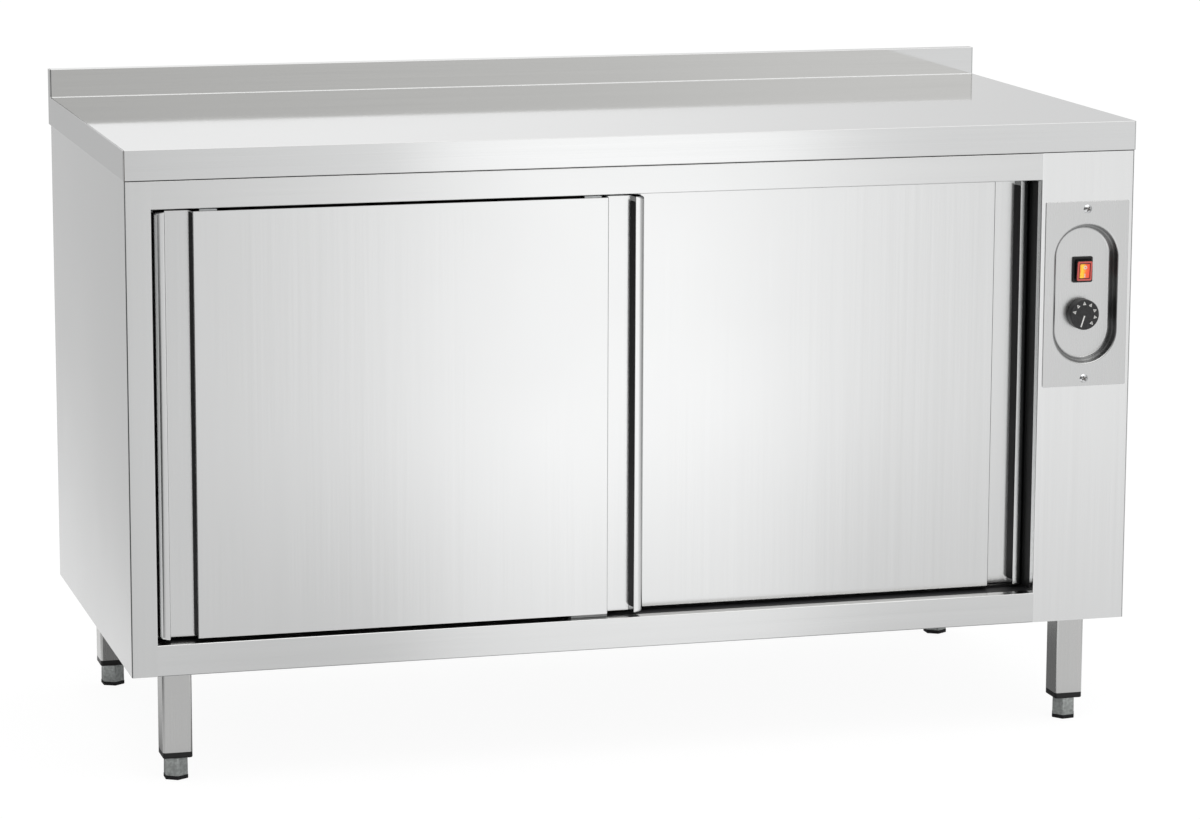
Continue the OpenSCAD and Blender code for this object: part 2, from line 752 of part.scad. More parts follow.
// Thermostat body with its capillary and the bulb along the partition
module thermostat() color("slategray") {
    half = thermostat_w / 2;
    body_y = dish_back - y_face;
    bulb_x = wall_x + bulb_r + rest_gap;
    bulb_y = y_face + inner_d - bulb_lead;
    tail_y = dish_back + thermostat_d / 2;
    difference() {
        slab([column_x - half, column_x + half], [body_y, body_y + thermostat_d],
            [knob_z - half, knob_z + half]);
        rearward(column_x, dish_back - 1, knob_z, spindle_r + fit_gap, spindle_inside + 2);
    }
    run([[column_x - half + capillary_seat, tail_y, knob_z], [bulb_x, tail_y, knob_z],
        [bulb_x, bulb_y + bulb_seat, knob_z]], capillary_r);
    rearward(bulb_x, bulb_y, knob_z, bulb_r, bulb_l);
}

module thermostat_spindle() color("silver")
    rearward(column_x, spindle_front, knob_z, spindle_r,
        dish_back - spindle_front + spindle_inside);

module knob() color("black") difference() {
    rearward(column_x, knob_front, knob_z, knob_r, knob_t);
    rearward(column_x, dish_floor - knob_gap - knob_bore_l, knob_z, spindle_r + fit_gap,
        knob_bore_l + 1);
}

// Heating rod: level passes joined by half turns, both ends leaving through the air box
module heater_element() color("dimgray") {
    for (i = [0:rod_passes - 1])
        rearward(rod_x, rod_y[0], rod_z + i * rod_pitch, rod_r, rod_y[1] - rod_y[0]);
    for (i = [0:rod_passes - 2])
        translate([rod_x, rod_y[(i + 1) % 2], rod_z + (i + 0.5) * rod_pitch])
            rotate([0, 90, 0]) rotate([0, 0, i % 2 == 0 ? 0 : 180])
                rotate_extrude(angle = 180) translate([rod_pitch / 2, 0]) circle(rod_r);
    for (z = [rod_z, rod_z + (rod_passes - 1) * rod_pitch]) {
        translate([rod_x, rod_y[0], z]) sphere(rod_r * 1.06);
        rightward(rod_x, rod_y[0], z, rod_r, air_x - rod_x + rod_tail);
    }
}

// Sheet box over the fan and the heating rod, open towards the partition
module air_box() color("silver") difference() {
    slab([wall_x, air_x], air_d, air_z);
    slab([wall_x - 1, air_x - sheet_t], [air_d[0] + sheet_t, air_d[1] - sheet_t],
        [air_z[0] + sheet_t, air_z[1] - sheet_t]);
    rightward(air_x - 5, fan_y, fan_z, shaft_r + cut_gap, 10);
    for (z = [rod_z, rod_z + (rod_passes - 1) * rod_pitch])
        rightward(air_x - 5, rod_y[0], z, rod_r + bolt_gap, 10);
}

module fan_motor() color("gray") difference() {
    union() {
        rightward(air_x, fan_y, fan_z, motor_r, motor_l);
        rightward(air_x, fan_y, fan_z, motor_r + motor_flange_w, motor_flange_t);
    }
    rightward(air_x - 1, fan_y, fan_z, shaft_r + fit_gap, motor_l - motor_cap_t + 1);
}

// Radial impeller with its shaft
module fan_impeller() color("lightsteelblue") {
    rightward(back_plate_x - blade_l, fan_y, fan_z, hub_r, blade_l + back_plate_t);
    rightward(back_plate_x, fan_y, fan_z, impeller_r, back_plate_t);
    rightward(back_plate_x, fan_y, fan_z, shaft_r,
        air_x - back_plate_x + motor_l - motor_cap_t - shaft_end_gap);
    for (i = [0:blade_count - 1])
        translate([back_plate_x - blade_l, fan_y, fan_z]) rotate([i * 360 / blade_count, 0, 0])
            translate([0, blade_inner_r, -blade_t / 2])
                cube([blade_l + back_plate_t, blade_outer_r - blade_inner_r, blade_t]);
}

module terminal_block() color("ivory") {
    rear = body_d - sheet_t;
    front = rear - terminal_d;
    slab([gland_x - terminal_w / 2, gland_x + terminal_w / 2], [front, rear],
        [terminal_z, terminal_z + terminal_h]);
    for (i = [-1, 0, 1])
        rearward(gland_x + i * terminal_pitch, y_face + front - terminal_screw_h,
            terminal_z + terminal_h / 2, terminal_screw_r, terminal_screw_h + 1);
}

// Gland with its hexagon outside the rear panel and its nut inside
module cable_gland() color("black") difference() {
    union() {
        rearward(gland_x, y_face + body_d - sheet_t - gland_in, gland_z, gland_barrel_r,
            gland_in + sheet_t + gland_out);
        for (d = [body_d - sheet_t - gland_nut_t, body_d])
            translate([gland_x, y_face + d, gland_z]) rotate([-90, 0, 0])
                hexagon(gland_nut_flats, gland_nut_t);
    }
    rearward(gland_x, y_face + body_d - sheet_t - gland_in - 1, gland_z, gland_r,
        gland_in + sheet_t + gland_out + 2);
}

// Wires from the terminal block to the switch, the motor and the heating rod
module wiring_loom() color("firebrick") {
    block_y = y_face + body_d - sheet_t - terminal_d / 2;
    switch_y = dish_floor + switch_body_d + tab_l + rest_gap + wire_r;
    run([[gland_x, block_y, terminal_z + terminal_h + rest_gap], [gland_x, block_y, wire_z],
        [wire_x, block_y, wire_z], [wire_x, switch_y, wire_z], [column_x, switch_y, wire_z],
        [column_x, switch_y, switch_z]], wire_r);
    motor_x = air_x + motor_l / 2;
    run([[wire_x, fan_y, wire_z], [motor_x, fan_y, wire_z],
        [motor_x, fan_y, fan_z + motor_r + wire_r + rest_gap]], wire_r);
    rod_end_x = air_x + rod_tail + wire_r + rest_gap;
    run([[wire_x, rod_y[0], wire_z], [rod_end_x, rod_y[0], wire_z],
        [rod_end_x, rod_y[0], rod_z]], wire_r);
}

// Points of an arc about a centre
function arc(centre, r, from, to) =
    [for (i = [0:4]) let (a = from + (to - from) * i / 4) centre + r * [cos(a), sin(a)]];

// Left half of a door's front outline, seen from above, moved inwards by a given amount
function half_outline(inset, back) = concat(
    [[inset, back]],
    arc([nose_r, nose_r], nose_r - inset, 180, 270),
    arc([nose_w - nose_r, nose_r], nose_r - inset, 270, 360),
    [[nose_w + grip_slope - inset, grip_d + inset],
        [nose_w + grip_w - grip_slope + inset, grip_d + inset]],
    arc([nose_w + grip_w + fold_r, fold_r], fold_r - inset, 180, 270));

function door_outline(inset, back) =
    let (half = half_outline(inset, back), n = len(half))
    concat(half, [for (i = [n - 1:-1:0]) [door_w - half[i][0], half[i][1]]]);

// Front skin: a tray with a nose and a grip channel at both ends, open at its back
module door_front(x, d) color("gainsboro") translate([x, y_face + d, door_z]) {
    back = door_t - door_skin_t;
    difference() {
        linear_extrude(door_h) polygon(door_outline(0, back));
        translate([0, 0, door_skin_t]) linear_extrude(door_h - 2 * door_skin_t)
            polygon(door_outline(door_skin_t, back + 1));
    }
}

module door_back(x, d) color("silver")
    slab([x, x + door_w], [d + door_t - door_skin_t, d + door_t], [door_z, door_top]);

module door_core(x, d) color("khaki") {
    end = nose_w + grip_w + fold_r;
    slab([x + end, x + door_w - end], [d + door_skin_t, d + door_t - door_skin_t],
        [door_z + door_skin_t, door_top - door_skin_t]);
}

// Black strips on the four walls of a door's two grip channels
module door_grips(x, d) color("black") {
    nose_wall = [[nose_w, nose_r], [nose_w + grip_slope, grip_d]];
    panel_wall = [[nose_w + grip_w, fold_r], [nose_w + grip_w - grip_slope, grip_d]];
    lean = [liner_t, 0];
    translate([x, y_face + d, door_z + liner_end_gap])
        for (flip = [0, 1])
            translate([flip * door_w, 0, 0]) mirror([flip, 0, 0])
                linear_extrude(door_h - 2 * liner_end_gap) {
                    polygon([nose_wall[0], nose_wall[1], nose_wall[1] + lean,
                        nose_wall[0] + lean]);
                    polygon([panel_wall[0], panel_wall[1], panel_wall[1] - lean,
                        panel_wall[0] - lean]);
                }
}

// Hangers: a foot on the door's top, a web beside the track, and the roller's pin
module door_hangers(x, d) color("slategray") {
    for (cx = [x + hanger_inset, x + door_w - hanger_inset]) {
        ends = [cx - hanger_w / 2, cx + hanger_w / 2];
        slab(ends, [d + hang_d - hanger_foot_d / 2, d + hang_d + hanger_foot_d / 2],
            [door_top, door_top + hanger_foot_t]);
        slab(ends, [d + web_d, d + web_d + hanger_t],
            [door_top, roller_z + roller_pin_r + hanger_head_h]);
        rearward(cx, y_face + d + tread_d[0] - rest_gap, roller_z, roller_pin_r,
            web_d - tread_d[0] + rest_gap + hanger_t / 2);
        rearward(cx, y_face + d + tread_d[0] - rest_gap - pin_head_t, roller_z, pin_head_r,
            pin_head_t);
    }
}

// Guide shoe under the main panel, with the tongue that runs in the guide
module door_shoe(x, d) color("darkgray") {
    ends = [x, x + shoe_l];
    slab(ends, [d + shoe_inset, d + door_t - shoe_inset], [z_sill + shoe_clearance, door_z]);
    slab(ends, [d + hang_d - tongue_t / 2, d + hang_d + tongue_t / 2],
        [z_sill - tongue_l, door_z]);
}

module roller(cx, d) color("white") difference() {
    rearward(cx, y_face + d + tread_d[0], roller_z, roller_r, roller_w);
    rearward(cx, y_face + d + tread_d[0] - 1, roller_z, roller_pin_r + fit_gap, roller_w + 2);
}

worktop();
worktop_core();
left_side_panel();
right_side_panel();
rear_panel();
base_panel();
top_rail();
bottom_rail();
control_fascia();
partition_wall();
left_liner();
rear_liner();
ceiling_liner();
floor_deck();
insulation();
door_track();
door_guide();
shelf_brackets();
shelf();
legs();
leg_caps();
leg_bolts();
control_plate();
plate_screws();
switch_housing();
switch_rocker();
thermostat();
thermostat_spindle();
knob();
heater_element();
air_box();
fan_motor();
fan_impeller();
terminal_block();
cable_gland();
wiring_loom();
foot(0);  // foot_front_left
foot(1);  // foot_front_right
foot(2);  // foot_rear_left
foot(3);  // foot_rear_right
sole(0);  // sole_front_left
sole(1);  // sole_front_right
sole(2);  // sole_rear_left
sole(3);  // sole_rear_right
door_front(left_door_x, front_door_d);  // left_door_front
door_back(left_door_x, front_door_d);  // left_door_back
door_core(left_door_x, front_door_d);  // left_door_core
door_grips(left_door_x, front_door_d);  // left_door_grips
door_hangers(left_door_x, front_door_d);  // left_door_hangers
door_shoe(left_door_x + door_w - nose_w - grip_w - shoe_l, front_door_d);  // left_door_shoe
roller(left_door_x + hanger_inset, front_door_d);  // left_roller_outer
roller(left_door_x + door_w - hanger_inset, front_door_d);  // left_roller_inner
door_front(right_door_x, rear_door_d);  // right_door_front
door_back(right_door_x, rear_door_d);  // right_door_back
door_core(right_door_x, rear_door_d);  // right_door_core
door_grips(right_door_x, rear_door_d);  // right_door_grips
door_hangers(right_door_x, rear_door_d);  // right_door_hangers
door_shoe(right_door_x + nose_w + grip_w, rear_door_d);  // right_door_shoe
roller(right_door_x + door_w - hanger_inset, rear_door_d);  // right_roller_outer
roller(right_door_x + hanger_inset, rear_door_d);  // right_roller_inner
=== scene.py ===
"""Dresses the heated plate cabinet: its sheet steel, doors, controls, legs and studio.

Sizes are in millimetres until a mesh is made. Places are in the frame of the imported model:
+X is right, +Y is the rear, +Z is up, and the origin is on the floor under the middle.
"""

from __future__ import annotations

import json
import logging
import math
from dataclasses import dataclass
from enum import Enum
from typing import Sequence

import bpy
import numpy as np
from mathutils import Matrix, Vector
from mathutils.geometry import tessellate_polygon


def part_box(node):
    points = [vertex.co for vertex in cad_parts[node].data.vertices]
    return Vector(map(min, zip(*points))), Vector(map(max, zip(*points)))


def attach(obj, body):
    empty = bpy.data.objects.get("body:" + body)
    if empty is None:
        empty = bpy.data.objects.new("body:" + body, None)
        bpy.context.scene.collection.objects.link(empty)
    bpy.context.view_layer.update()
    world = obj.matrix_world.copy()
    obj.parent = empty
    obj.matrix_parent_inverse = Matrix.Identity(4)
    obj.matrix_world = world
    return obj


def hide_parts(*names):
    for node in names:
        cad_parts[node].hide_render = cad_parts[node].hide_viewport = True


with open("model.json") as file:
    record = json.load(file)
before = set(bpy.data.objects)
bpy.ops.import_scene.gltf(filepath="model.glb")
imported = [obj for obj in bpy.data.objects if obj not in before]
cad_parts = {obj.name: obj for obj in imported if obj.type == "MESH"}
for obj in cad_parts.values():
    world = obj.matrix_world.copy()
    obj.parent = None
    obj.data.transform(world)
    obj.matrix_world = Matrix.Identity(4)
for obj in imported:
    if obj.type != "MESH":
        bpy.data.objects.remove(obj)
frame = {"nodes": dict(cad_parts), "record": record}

LOG = logging.getLogger("plate_cabinet")
MM = 0.001
NOISE_RANGE = (0.3, 0.7)  # Where most of a noise lies
Colour = tuple[float, float, float]
Pair = tuple[float, float]


class Axis(Enum):
    """The axis of a sweep. Its outline's pairs are (y, z) for X, (x, z) for Y, (x, y) for Z."""

    X = 0
    Y = 1
    Z = 2


class Grain(Enum):
    """The way that the polishing lines run on a steel sheet."""

    LENGTHWISE = 0
    CROSSWISE = 1
    UPRIGHT = 2


def node_box(node: str) -> tuple[np.ndarray, np.ndarray]:
    """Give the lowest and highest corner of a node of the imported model, in millimetres.

    Args:
        node: Name of the node.

    Returns:
        Two arrays of three numbers.
    """
    low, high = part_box(node)
    return np.array(low) / MM, np.array(high) / MM


def polar(angle: np.ndarray) -> np.ndarray:
    """Give (cos a, sin a) for each angle a in radians, along a new last axis."""
    return np.stack([np.cos(angle), np.sin(angle)], axis=-1)


def place(flat: np.ndarray, along: np.ndarray | float, axis: Axis) -> np.ndarray:
    """Turn outline pairs and positions along an axis into points.

    Args:
        flat: Outline pairs, shape (..., 2).
        along: Positions along the axis, of a shape that fits flat's.
        axis: Axis of the sweep.

    Returns:
        Points of shape (..., 3).
    """
    first, second = flat[..., 0], flat[..., 1]
    along = np.broadcast_to(along, first.shape)
    order = {Axis.X: (along, first, second), Axis.Y: (first, along, second),
             Axis.Z: (first, second, along)}[axis]
    return np.stack(order, axis=-1)


def stacked(levels: Sequence[tuple[np.ndarray, float]], axis: Axis,
            centre: Sequence[float] = (0, 0, 0)) -> np.ndarray:
    """Place outlines one after another along an axis.

    Args:
        levels: Outlines of one length with their positions along the axis.
        axis: The axis.
        centre: Point that the outlines and positions count from.

    Returns:
        Points of shape (levels, places, 3).
    """
    return np.stack([place(flat, spot, axis) for flat, spot in levels]) + np.array(centre)


def arc(centre: Pair, radius: float, start: float, end: float, steps: int = 8) -> np.ndarray:
    """Give points on a circle: centre + radius * (cos a, sin a), for a from start to end.

    Args:
        centre: Centre of the circle.
        radius: Its radius.
        start: First angle, in degrees.
        end: Last angle, in degrees.
        steps: Number of steps between them.

    Returns:
        Points of shape (steps + 1, 2).
    """
    return np.array(centre) + radius * polar(np.radians(np.linspace(start, end, steps + 1)))


def rounded_path(corners: Sequence[Sequence[float]], steps: int = 6) -> np.ndarray:
    """Round the corners of an open path.

    At each inner corner an arc touches both legs. With h as half the angle between the legs
    and r as the radius, it leaves the legs r / tan(h) from the corner, and its centre lies
    r / sin(h) from the corner along their bisector.

    Args:
        corners: Triples of two places and the corner's radius. A radius of 0 stays sharp.
        steps: Number of steps in each arc.

    Returns:
        Points of shape (n, 2).
    """
    points = [np.array(c[:2], float) for c in corners]
    parts = [points[0][None]]
    for before, corner, after, data in zip(points, points[1:], points[2:], corners[1:]):
        radius = data[2]
        back = (before - corner) / np.linalg.norm(before - corner)
        ahead = (after - corner) / np.linalg.norm(after - corner)
        half = math.acos(float(np.clip(back @ ahead, -1, 1))) / 2
        if radius <= 0 or half > math.radians(89.5):
            parts.append(corner[None])
            continue
        middle = (back + ahead) / np.linalg.norm(back + ahead)
        centre = corner + middle * radius / math.sin(half)
        first = corner + back * radius / math.tan(half) - centre
        last = corner + ahead * radius / math.tan(half) - centre
        start = math.atan2(first[1], first[0])
        sweep = math.atan2(last[1], last[0]) - start
        sweep = (sweep + math.pi) % (2 * math.pi) - math.pi
        parts.append(centre + radius * polar(start + sweep * np.linspace(0, 1, steps + 1)))
    parts.append(points[-1][None])
    return np.concatenate(parts)


def rounded_rectangle(width: float, height: float, radius: float, centre: Pair = (0, 0),
                      steps: int = 5) -> np.ndarray:
    """Give a rectangle with round corners as a closed outline, anticlockwise.

    Args:
        width: Size along the first direction.
        height: Size along the second direction.
        radius: Radius of the corners.
        centre: Centre of the rectangle.
        steps: Number of steps in each corner.

    Returns:
        Points of shape (n, 2).
    """
    x, y = width / 2 - radius, height / 2 - radius
    corners = [((x, -y), -90), ((x, y), 0), ((-x, y), 90), ((-x, -y), 180)]
    parts = [arc(spot, radius, turn, turn + 90, steps) for spot, turn in corners]
    return np.concatenate(parts) + np.array(centre)


def hexagon(flats: float, turn: float, radius: float) -> np.ndarray:
    """Give a hexagon with rounded corners, anticlockwise.

    Args:
        flats: Width across two opposite flats.
        turn: Angle of the first corner, in degrees.
        radius: Radius of the corners.

    Returns:
        Points of shape (n, 2).
    """
    reach = (flats / 2 - radius) / math.cos(math.radians(30.0))
    turns = turn + 60.0 * np.arange(6)
    return np.concatenate([arc(tuple(c), radius, t - 30.0, t + 30.0, 3)
                           for c, t in zip(reach * polar(np.radians(turns)), turns)])


def left_normals(path: np.ndarray, closed: bool) -> np.ndarray:
    """Give the direction that moves each point of a path to the left of its travel.

    The two legs at a point have the unit normals a and b. The result (a + b) / (1 + a . b)
    keeps both legs at a distance of one when the path is moved by it.

    Args:
        path: Points of shape (n, 2).
        closed: Whether the last point joins the first.

    Returns:
        Vectors of shape (n, 2).
    """
    leg = np.roll(path, -1, axis=0) - path
    leg /= np.maximum(np.linalg.norm(leg, axis=1, keepdims=True), 1e-9)
    normal = np.stack([-leg[:, 1], leg[:, 0]], axis=-1)
    if not closed:
        normal[-1] = normal[-2]
    before = np.roll(normal, 1, axis=0)
    if not closed:
        before[0] = normal[0]
    share = np.maximum(1 + np.sum(normal * before, axis=1, keepdims=True), 0.3)
    return (normal + before) / share


def triangles(ring: np.ndarray) -> list[list[int]]:
    """Cut a flat closed ring into triangles that turn the same way as the ring does.

    The sum of the cross products of neighbouring points is twice the ring's area vector.

    Args:
        ring: Points of shape (n, 3).

    Returns:
        Lists of three indices into the ring.
    """
    faces = np.array(tessellate_polygon([[Vector(point) for point in ring.tolist()]]))
    first, second, third = (ring[faces[:, i]] for i in range(3))
    area = np.cross(ring - ring[0], np.roll(ring, -1, axis=0) - ring[0]).sum(axis=0)
    same = np.cross(second - first, third - first) @ area > 0
    return np.where(same[:, None], faces, faces[:, ::-1]).tolist()


class Draft:
    """Surfaces gathered as arrays of points and faces, which become one mesh object."""

    def __init__(self) -> None:
        """Start with no surface."""
        self.points: list[np.ndarray] = []
        self.faces: list[list[int]] = []
        self.count = 0

    def add(self, points: np.ndarray, faces: list[list[int]]) -> None:
        """Add points and the faces among them.

        Args:
            points: Points of shape (n, 3).
            faces: Lists of indices into these points.
        """
        self.faces += [[i + self.count for i in face] for face in faces]
        self.points.append(points)
        self.count += len(points)

    def rings(self, rings: np.ndarray, axis: Axis, capped: bool = True,
              inward: bool = False) -> None:
        """Add the surface through closed rings that follow each other along an axis.

        Ring r and place c meet their neighbours in the quad (r, c), (r, c + 1),
        (r + 1, c + 1), (r + 1, c).

        Args:
            rings: Points of shape (rings, places, 3). Each ring is anticlockwise.
            axis: Axis that the rings follow each other along, upwards.
            capped: Whether the first and the last ring are closed with faces.
            inward: Whether the faces point into the shape.
        """
        rows, places = rings.shape[:2]
        index = np.arange(rows * places).reshape(rows, places)
        side = np.roll(index, -1, axis=1)
        quads = np.stack([index[:-1], side[:-1], side[1:], index[1:]], axis=-1).reshape(-1, 4)
        faces = quads.tolist()
        if capped:
            start = (rows - 1) * places
            faces += [face[::-1] for face in triangles(rings[0])]
            faces += [[start + i for i in face] for face in triangles(rings[-1])]
        if (axis is Axis.Y) != inward:
            faces = [face[::-1] for face in faces]
        self.add(rings.reshape(-1, 3), faces)

    def prism(self, outline: np.ndarray, axis: Axis, start: float, end: float,
              start_round: float = 0.25, end_round: float = 0.25, steps: int = 3) -> None:
        """Add a straight solid with rounded ends.

        A ring at the angle a of an end's rounding of radius r lies r (1 - cos a) inside that
        end, and its outline is moved inwards by r (1 - sin a).

        Args:
            outline: Closed outline, anticlockwise, shape (n, 2).
            axis: Axis of the solid.
            start: Lower end.
            end: Upper end.
            start_round: Radius at the lower end.
            end_round: Radius at the upper end.
            steps: Number of steps in each rounding.
        """
        inward = left_normals(outline, closed=True)
        angle = np.radians(np.linspace(0, 90, steps + 1))[:, None]
        shrink, rise = 1 - np.sin(angle), 1 - np.cos(angle)
        inset = np.concatenate([start_round * shrink, end_round * shrink[::-1]])
        along = np.concatenate([start + start_round * rise, end - end_round * rise[::-1]])
        self.rings(place(outline[None] + inward[None] * inset[..., None], along, axis), axis)

    def bent_sheet(self, corners: Sequence[Sequence[float]], thickness: float, axis: Axis,
                   start: float, end: float, edge: float = 0.25) -> None:
        """Add a folded sheet, swept along an axis.

        Args:
            corners: Corners of its outer face with their radii, outside on the right.
            thickness: Thickness of the sheet.
            axis: Axis that the folds run along.
            start: Lower end.
            end: Upper end.
            edge: Rounding of the cut ends.
        """
        outer = rounded_path(corners)
        inner = outer + left_normals(outer, closed=False) * thickness
        self.prism(np.concatenate([outer, inner[::-1]]), axis, start, end, edge, edge, 2)

    def lathe(self, profile: Sequence[Pair], centre: Sequence[float], axis: Axis,
              sides: int = 64) -> None:
        """Add a turned solid: each pair (radius, position) of its profile becomes a ring.

        Args:
            profile: Pairs of radius and position along the axis, positions rising.
            centre: Point of the axis that positions count from.
            axis: Axis of the turning.
            sides: Number of places on each ring.
        """
        circle = polar(np.linspace(0, 2 * math.pi, sides, endpoint=False))
        self.rings(stacked([(r * circle, spot) for r, spot in profile], axis, centre), axis)

    def build(self, name: str, material: bpy.types.Material, smooth: float = 35.0,
              weighted: bool = True) -> bpy.types.Object:
        """Make the mesh object.

        Args:
            name: Name of the piece.
            material: Its material.
            smooth: Edges with a larger angle stay sharp, in degrees.
            weighted: Whether large faces keep flat shading beside their rounded edges.

        Returns:
            The object, with its place in its mesh.
        """
        mesh = bpy.data.meshes.new(name)
        mesh.from_pydata(np.concatenate(self.points) * MM, [], self.faces)
        mesh.polygons.foreach_set("use_smooth", np.ones(len(mesh.polygons), bool))
        mesh.materials.append(material)
        mesh.update()
        mesh.set_sharp_from_angle(angle=math.radians(smooth))
        piece = bpy.data.objects.new(name, mesh)
        bpy.context.scene.collection.objects.link(piece)
        if weighted:
            modifier = piece.modifiers.new("flat_faces", "WEIGHTED_NORMAL")
            modifier.keep_sharp = True
        return piece


class Sketch:
    """A material's or the world's node tree, with short calls to add and join nodes."""

    def __init__(self, tree: bpy.types.NodeTree) -> None:
        """Clear a tree and draw in it from now on."""
        tree.nodes.clear()
        self.tree = tree

    def add(self, kind: str, inputs: dict[str | int, object] | None = None,
            **settings: object) -> bpy.types.Node:
        """Add a node.

        Args:
            kind: Type of the node.
            inputs: Values or output sockets for its inputs, by name or number.
            settings: The node's own settings.

        Returns:
            The node.
        """
        node = self.tree.nodes.new(kind)
        for key, value in settings.items():
            setattr(node, key, value)
        for key, value in (inputs or {}).items():
            if isinstance(value, bpy.types.NodeSocket):
                self.tree.links.new(value, node.inputs[key])
            else:
                node.inputs[key].default_value = value
        return node

    def maths(self, operation: str, *values: object) -> bpy.types.NodeSocket:
        """Give the result of an operation on numbers or sockets."""
        node = self.add("ShaderNodeMath", dict(enumerate(values)), operation=operation)
        return node.outputs[0]

    def scaled(self, value: object, source: Pair, target: Pair,
               smooth: bool = False) -> bpy.types.NodeSocket:
        """Carry a number from one range to another, clamped.

        Args:
            value: The number's socket.
            source: Range of the number.
            target: Range of the result.
            smooth: Whether the result eases in and out.

        Returns:
            The result's socket.
        """
        kind = "SMOOTHSTEP" if smooth else "LINEAR"
        ranges = dict(enumerate((value, *source, *target)))
        return self.add("ShaderNodeMapRange", ranges, interpolation_type=kind).outputs[0]

    def around(self, noise: object, middle: float, reach: float) -> bpy.types.NodeSocket:
        """Turn a noise into numbers from middle - reach to middle + reach."""
        return self.scaled(noise, NOISE_RANGE, (middle - reach, middle + reach))

    def position(self) -> tuple[bpy.types.NodeSocket, ...]:
        """Give the object's own X, Y and Z coordinates, in metres."""
        where = self.add("ShaderNodeTexCoord").outputs["Object"]
        return tuple(self.add("ShaderNodeSeparateXYZ", {0: where}).outputs)

    def compass(self, right: object, ahead: object) -> bpy.types.NodeSocket:
        """Give the angle to the right of straight ahead, in degrees."""
        return self.maths("DEGREES", self.maths("ARCTAN2", right, ahead))

    def noise(self, scale: Sequence[float], detail: float = 3.0,
              roughness: float = 0.5) -> bpy.types.NodeSocket:
        """Add noise over the object's own coordinates.

        Args:
            scale: Waves per metre along X, Y and Z.
            detail: Number of finer layers.
            roughness: Share of the finer layers.

        Returns:
            The noise's socket, from 0 to 1.
        """
        where = self.add("ShaderNodeTexCoord").outputs["Object"]
        turned = self.add("ShaderNodeMapping", {"Vector": where, "Scale": tuple(scale)})
        node = self.add("ShaderNodeTexNoise", {"Vector": turned.outputs[0], "Scale": 1.0,
                                               "Detail": detail, "Roughness": roughness})
        return node.outputs[0]

    def curve(self, value: bpy.types.NodeSocket, stops: Sequence[Pair]) -> bpy.types.NodeSocket:
        """Read a number off a smooth curve.

        Args:
            value: Where to read it.
            stops: Pairs of place and number, in order. The ends hold beyond them.

        Returns:
            The number's socket.
        """
        first, last = stops[0][0], stops[-1][0]
        top = max(level for _, level in stops)
        node = self.add("ShaderNodeFloatCurve", {1: self.scaled(value, (first, last), (0, 1))})
        curve = node.mapping.curves[0]
        for number, (spot, level) in enumerate(stops):
            point = ((spot - first) / (last - first), level / top)
            if number < 2:
                curve.points[number].location = point
            else:
                curve.points.new(*point)
        node.mapping.update()
        return self.maths("MULTIPLY", node.outputs[0], top)

    def mix(self, share: object, first: object, second: object) -> bpy.types.NodeSocket:
        """Mix two numbers by the share of the second."""
        return self.add("ShaderNodeMix", {0: share, 2: first, 3: second}).outputs[0]

    def tint(self, share: object, first: Colour, second: Colour) -> bpy.types.NodeSocket:
        """Mix two colours by the share of the second."""
        node = self.add("ShaderNodeMix", {0: share, 6: (*first, 1), 7: (*second, 1)},
                        data_type="RGBA")
        return node.outputs[2]

    def varied(self, noise: object, tone: Colour, amount: float) -> bpy.types.NodeSocket:
        """Vary a colour with a noise, by a share of its brightness up and down."""
        dark, light = (tuple(min(1.0, c * share) for c in tone)
                       for share in (1 - amount, 1 + amount))
        return self.tint(self.scaled(noise, NOISE_RANGE, (0, 1)), dark, light)

    def bump(self, height: object, strength: float, distance: float) -> bpy.types.NodeSocket:
        """Give the normals of a relief that is a distance high, in millimetres."""
        return self.add("ShaderNodeBump", {"Strength": strength, "Distance": distance * MM,
                                           "Height": height}).outputs[0]


@dataclass(frozen=True)
class Finish:
    """What every finish shares.

    Attributes:
        name: Name of the material.
    """

    name: str

    def material(self) -> bpy.types.Material:
        """Make the material round the finish's own inputs.

        Returns:
            The material.
        """
        material = bpy.data.materials.new(self.name)
        material.use_nodes = True
        sketch = Sketch(material.node_tree)
        shell = sketch.add("ShaderNodeBsdfPrincipled", self.inputs(sketch))
        sketch.add("ShaderNodeOutputMaterial", {"Surface": shell.outputs[0]})
        return material

    def inputs(self, sketch: Sketch) -> dict[str, object]:
        """Give the inputs of the finish's shader."""
        raise NotImplementedError


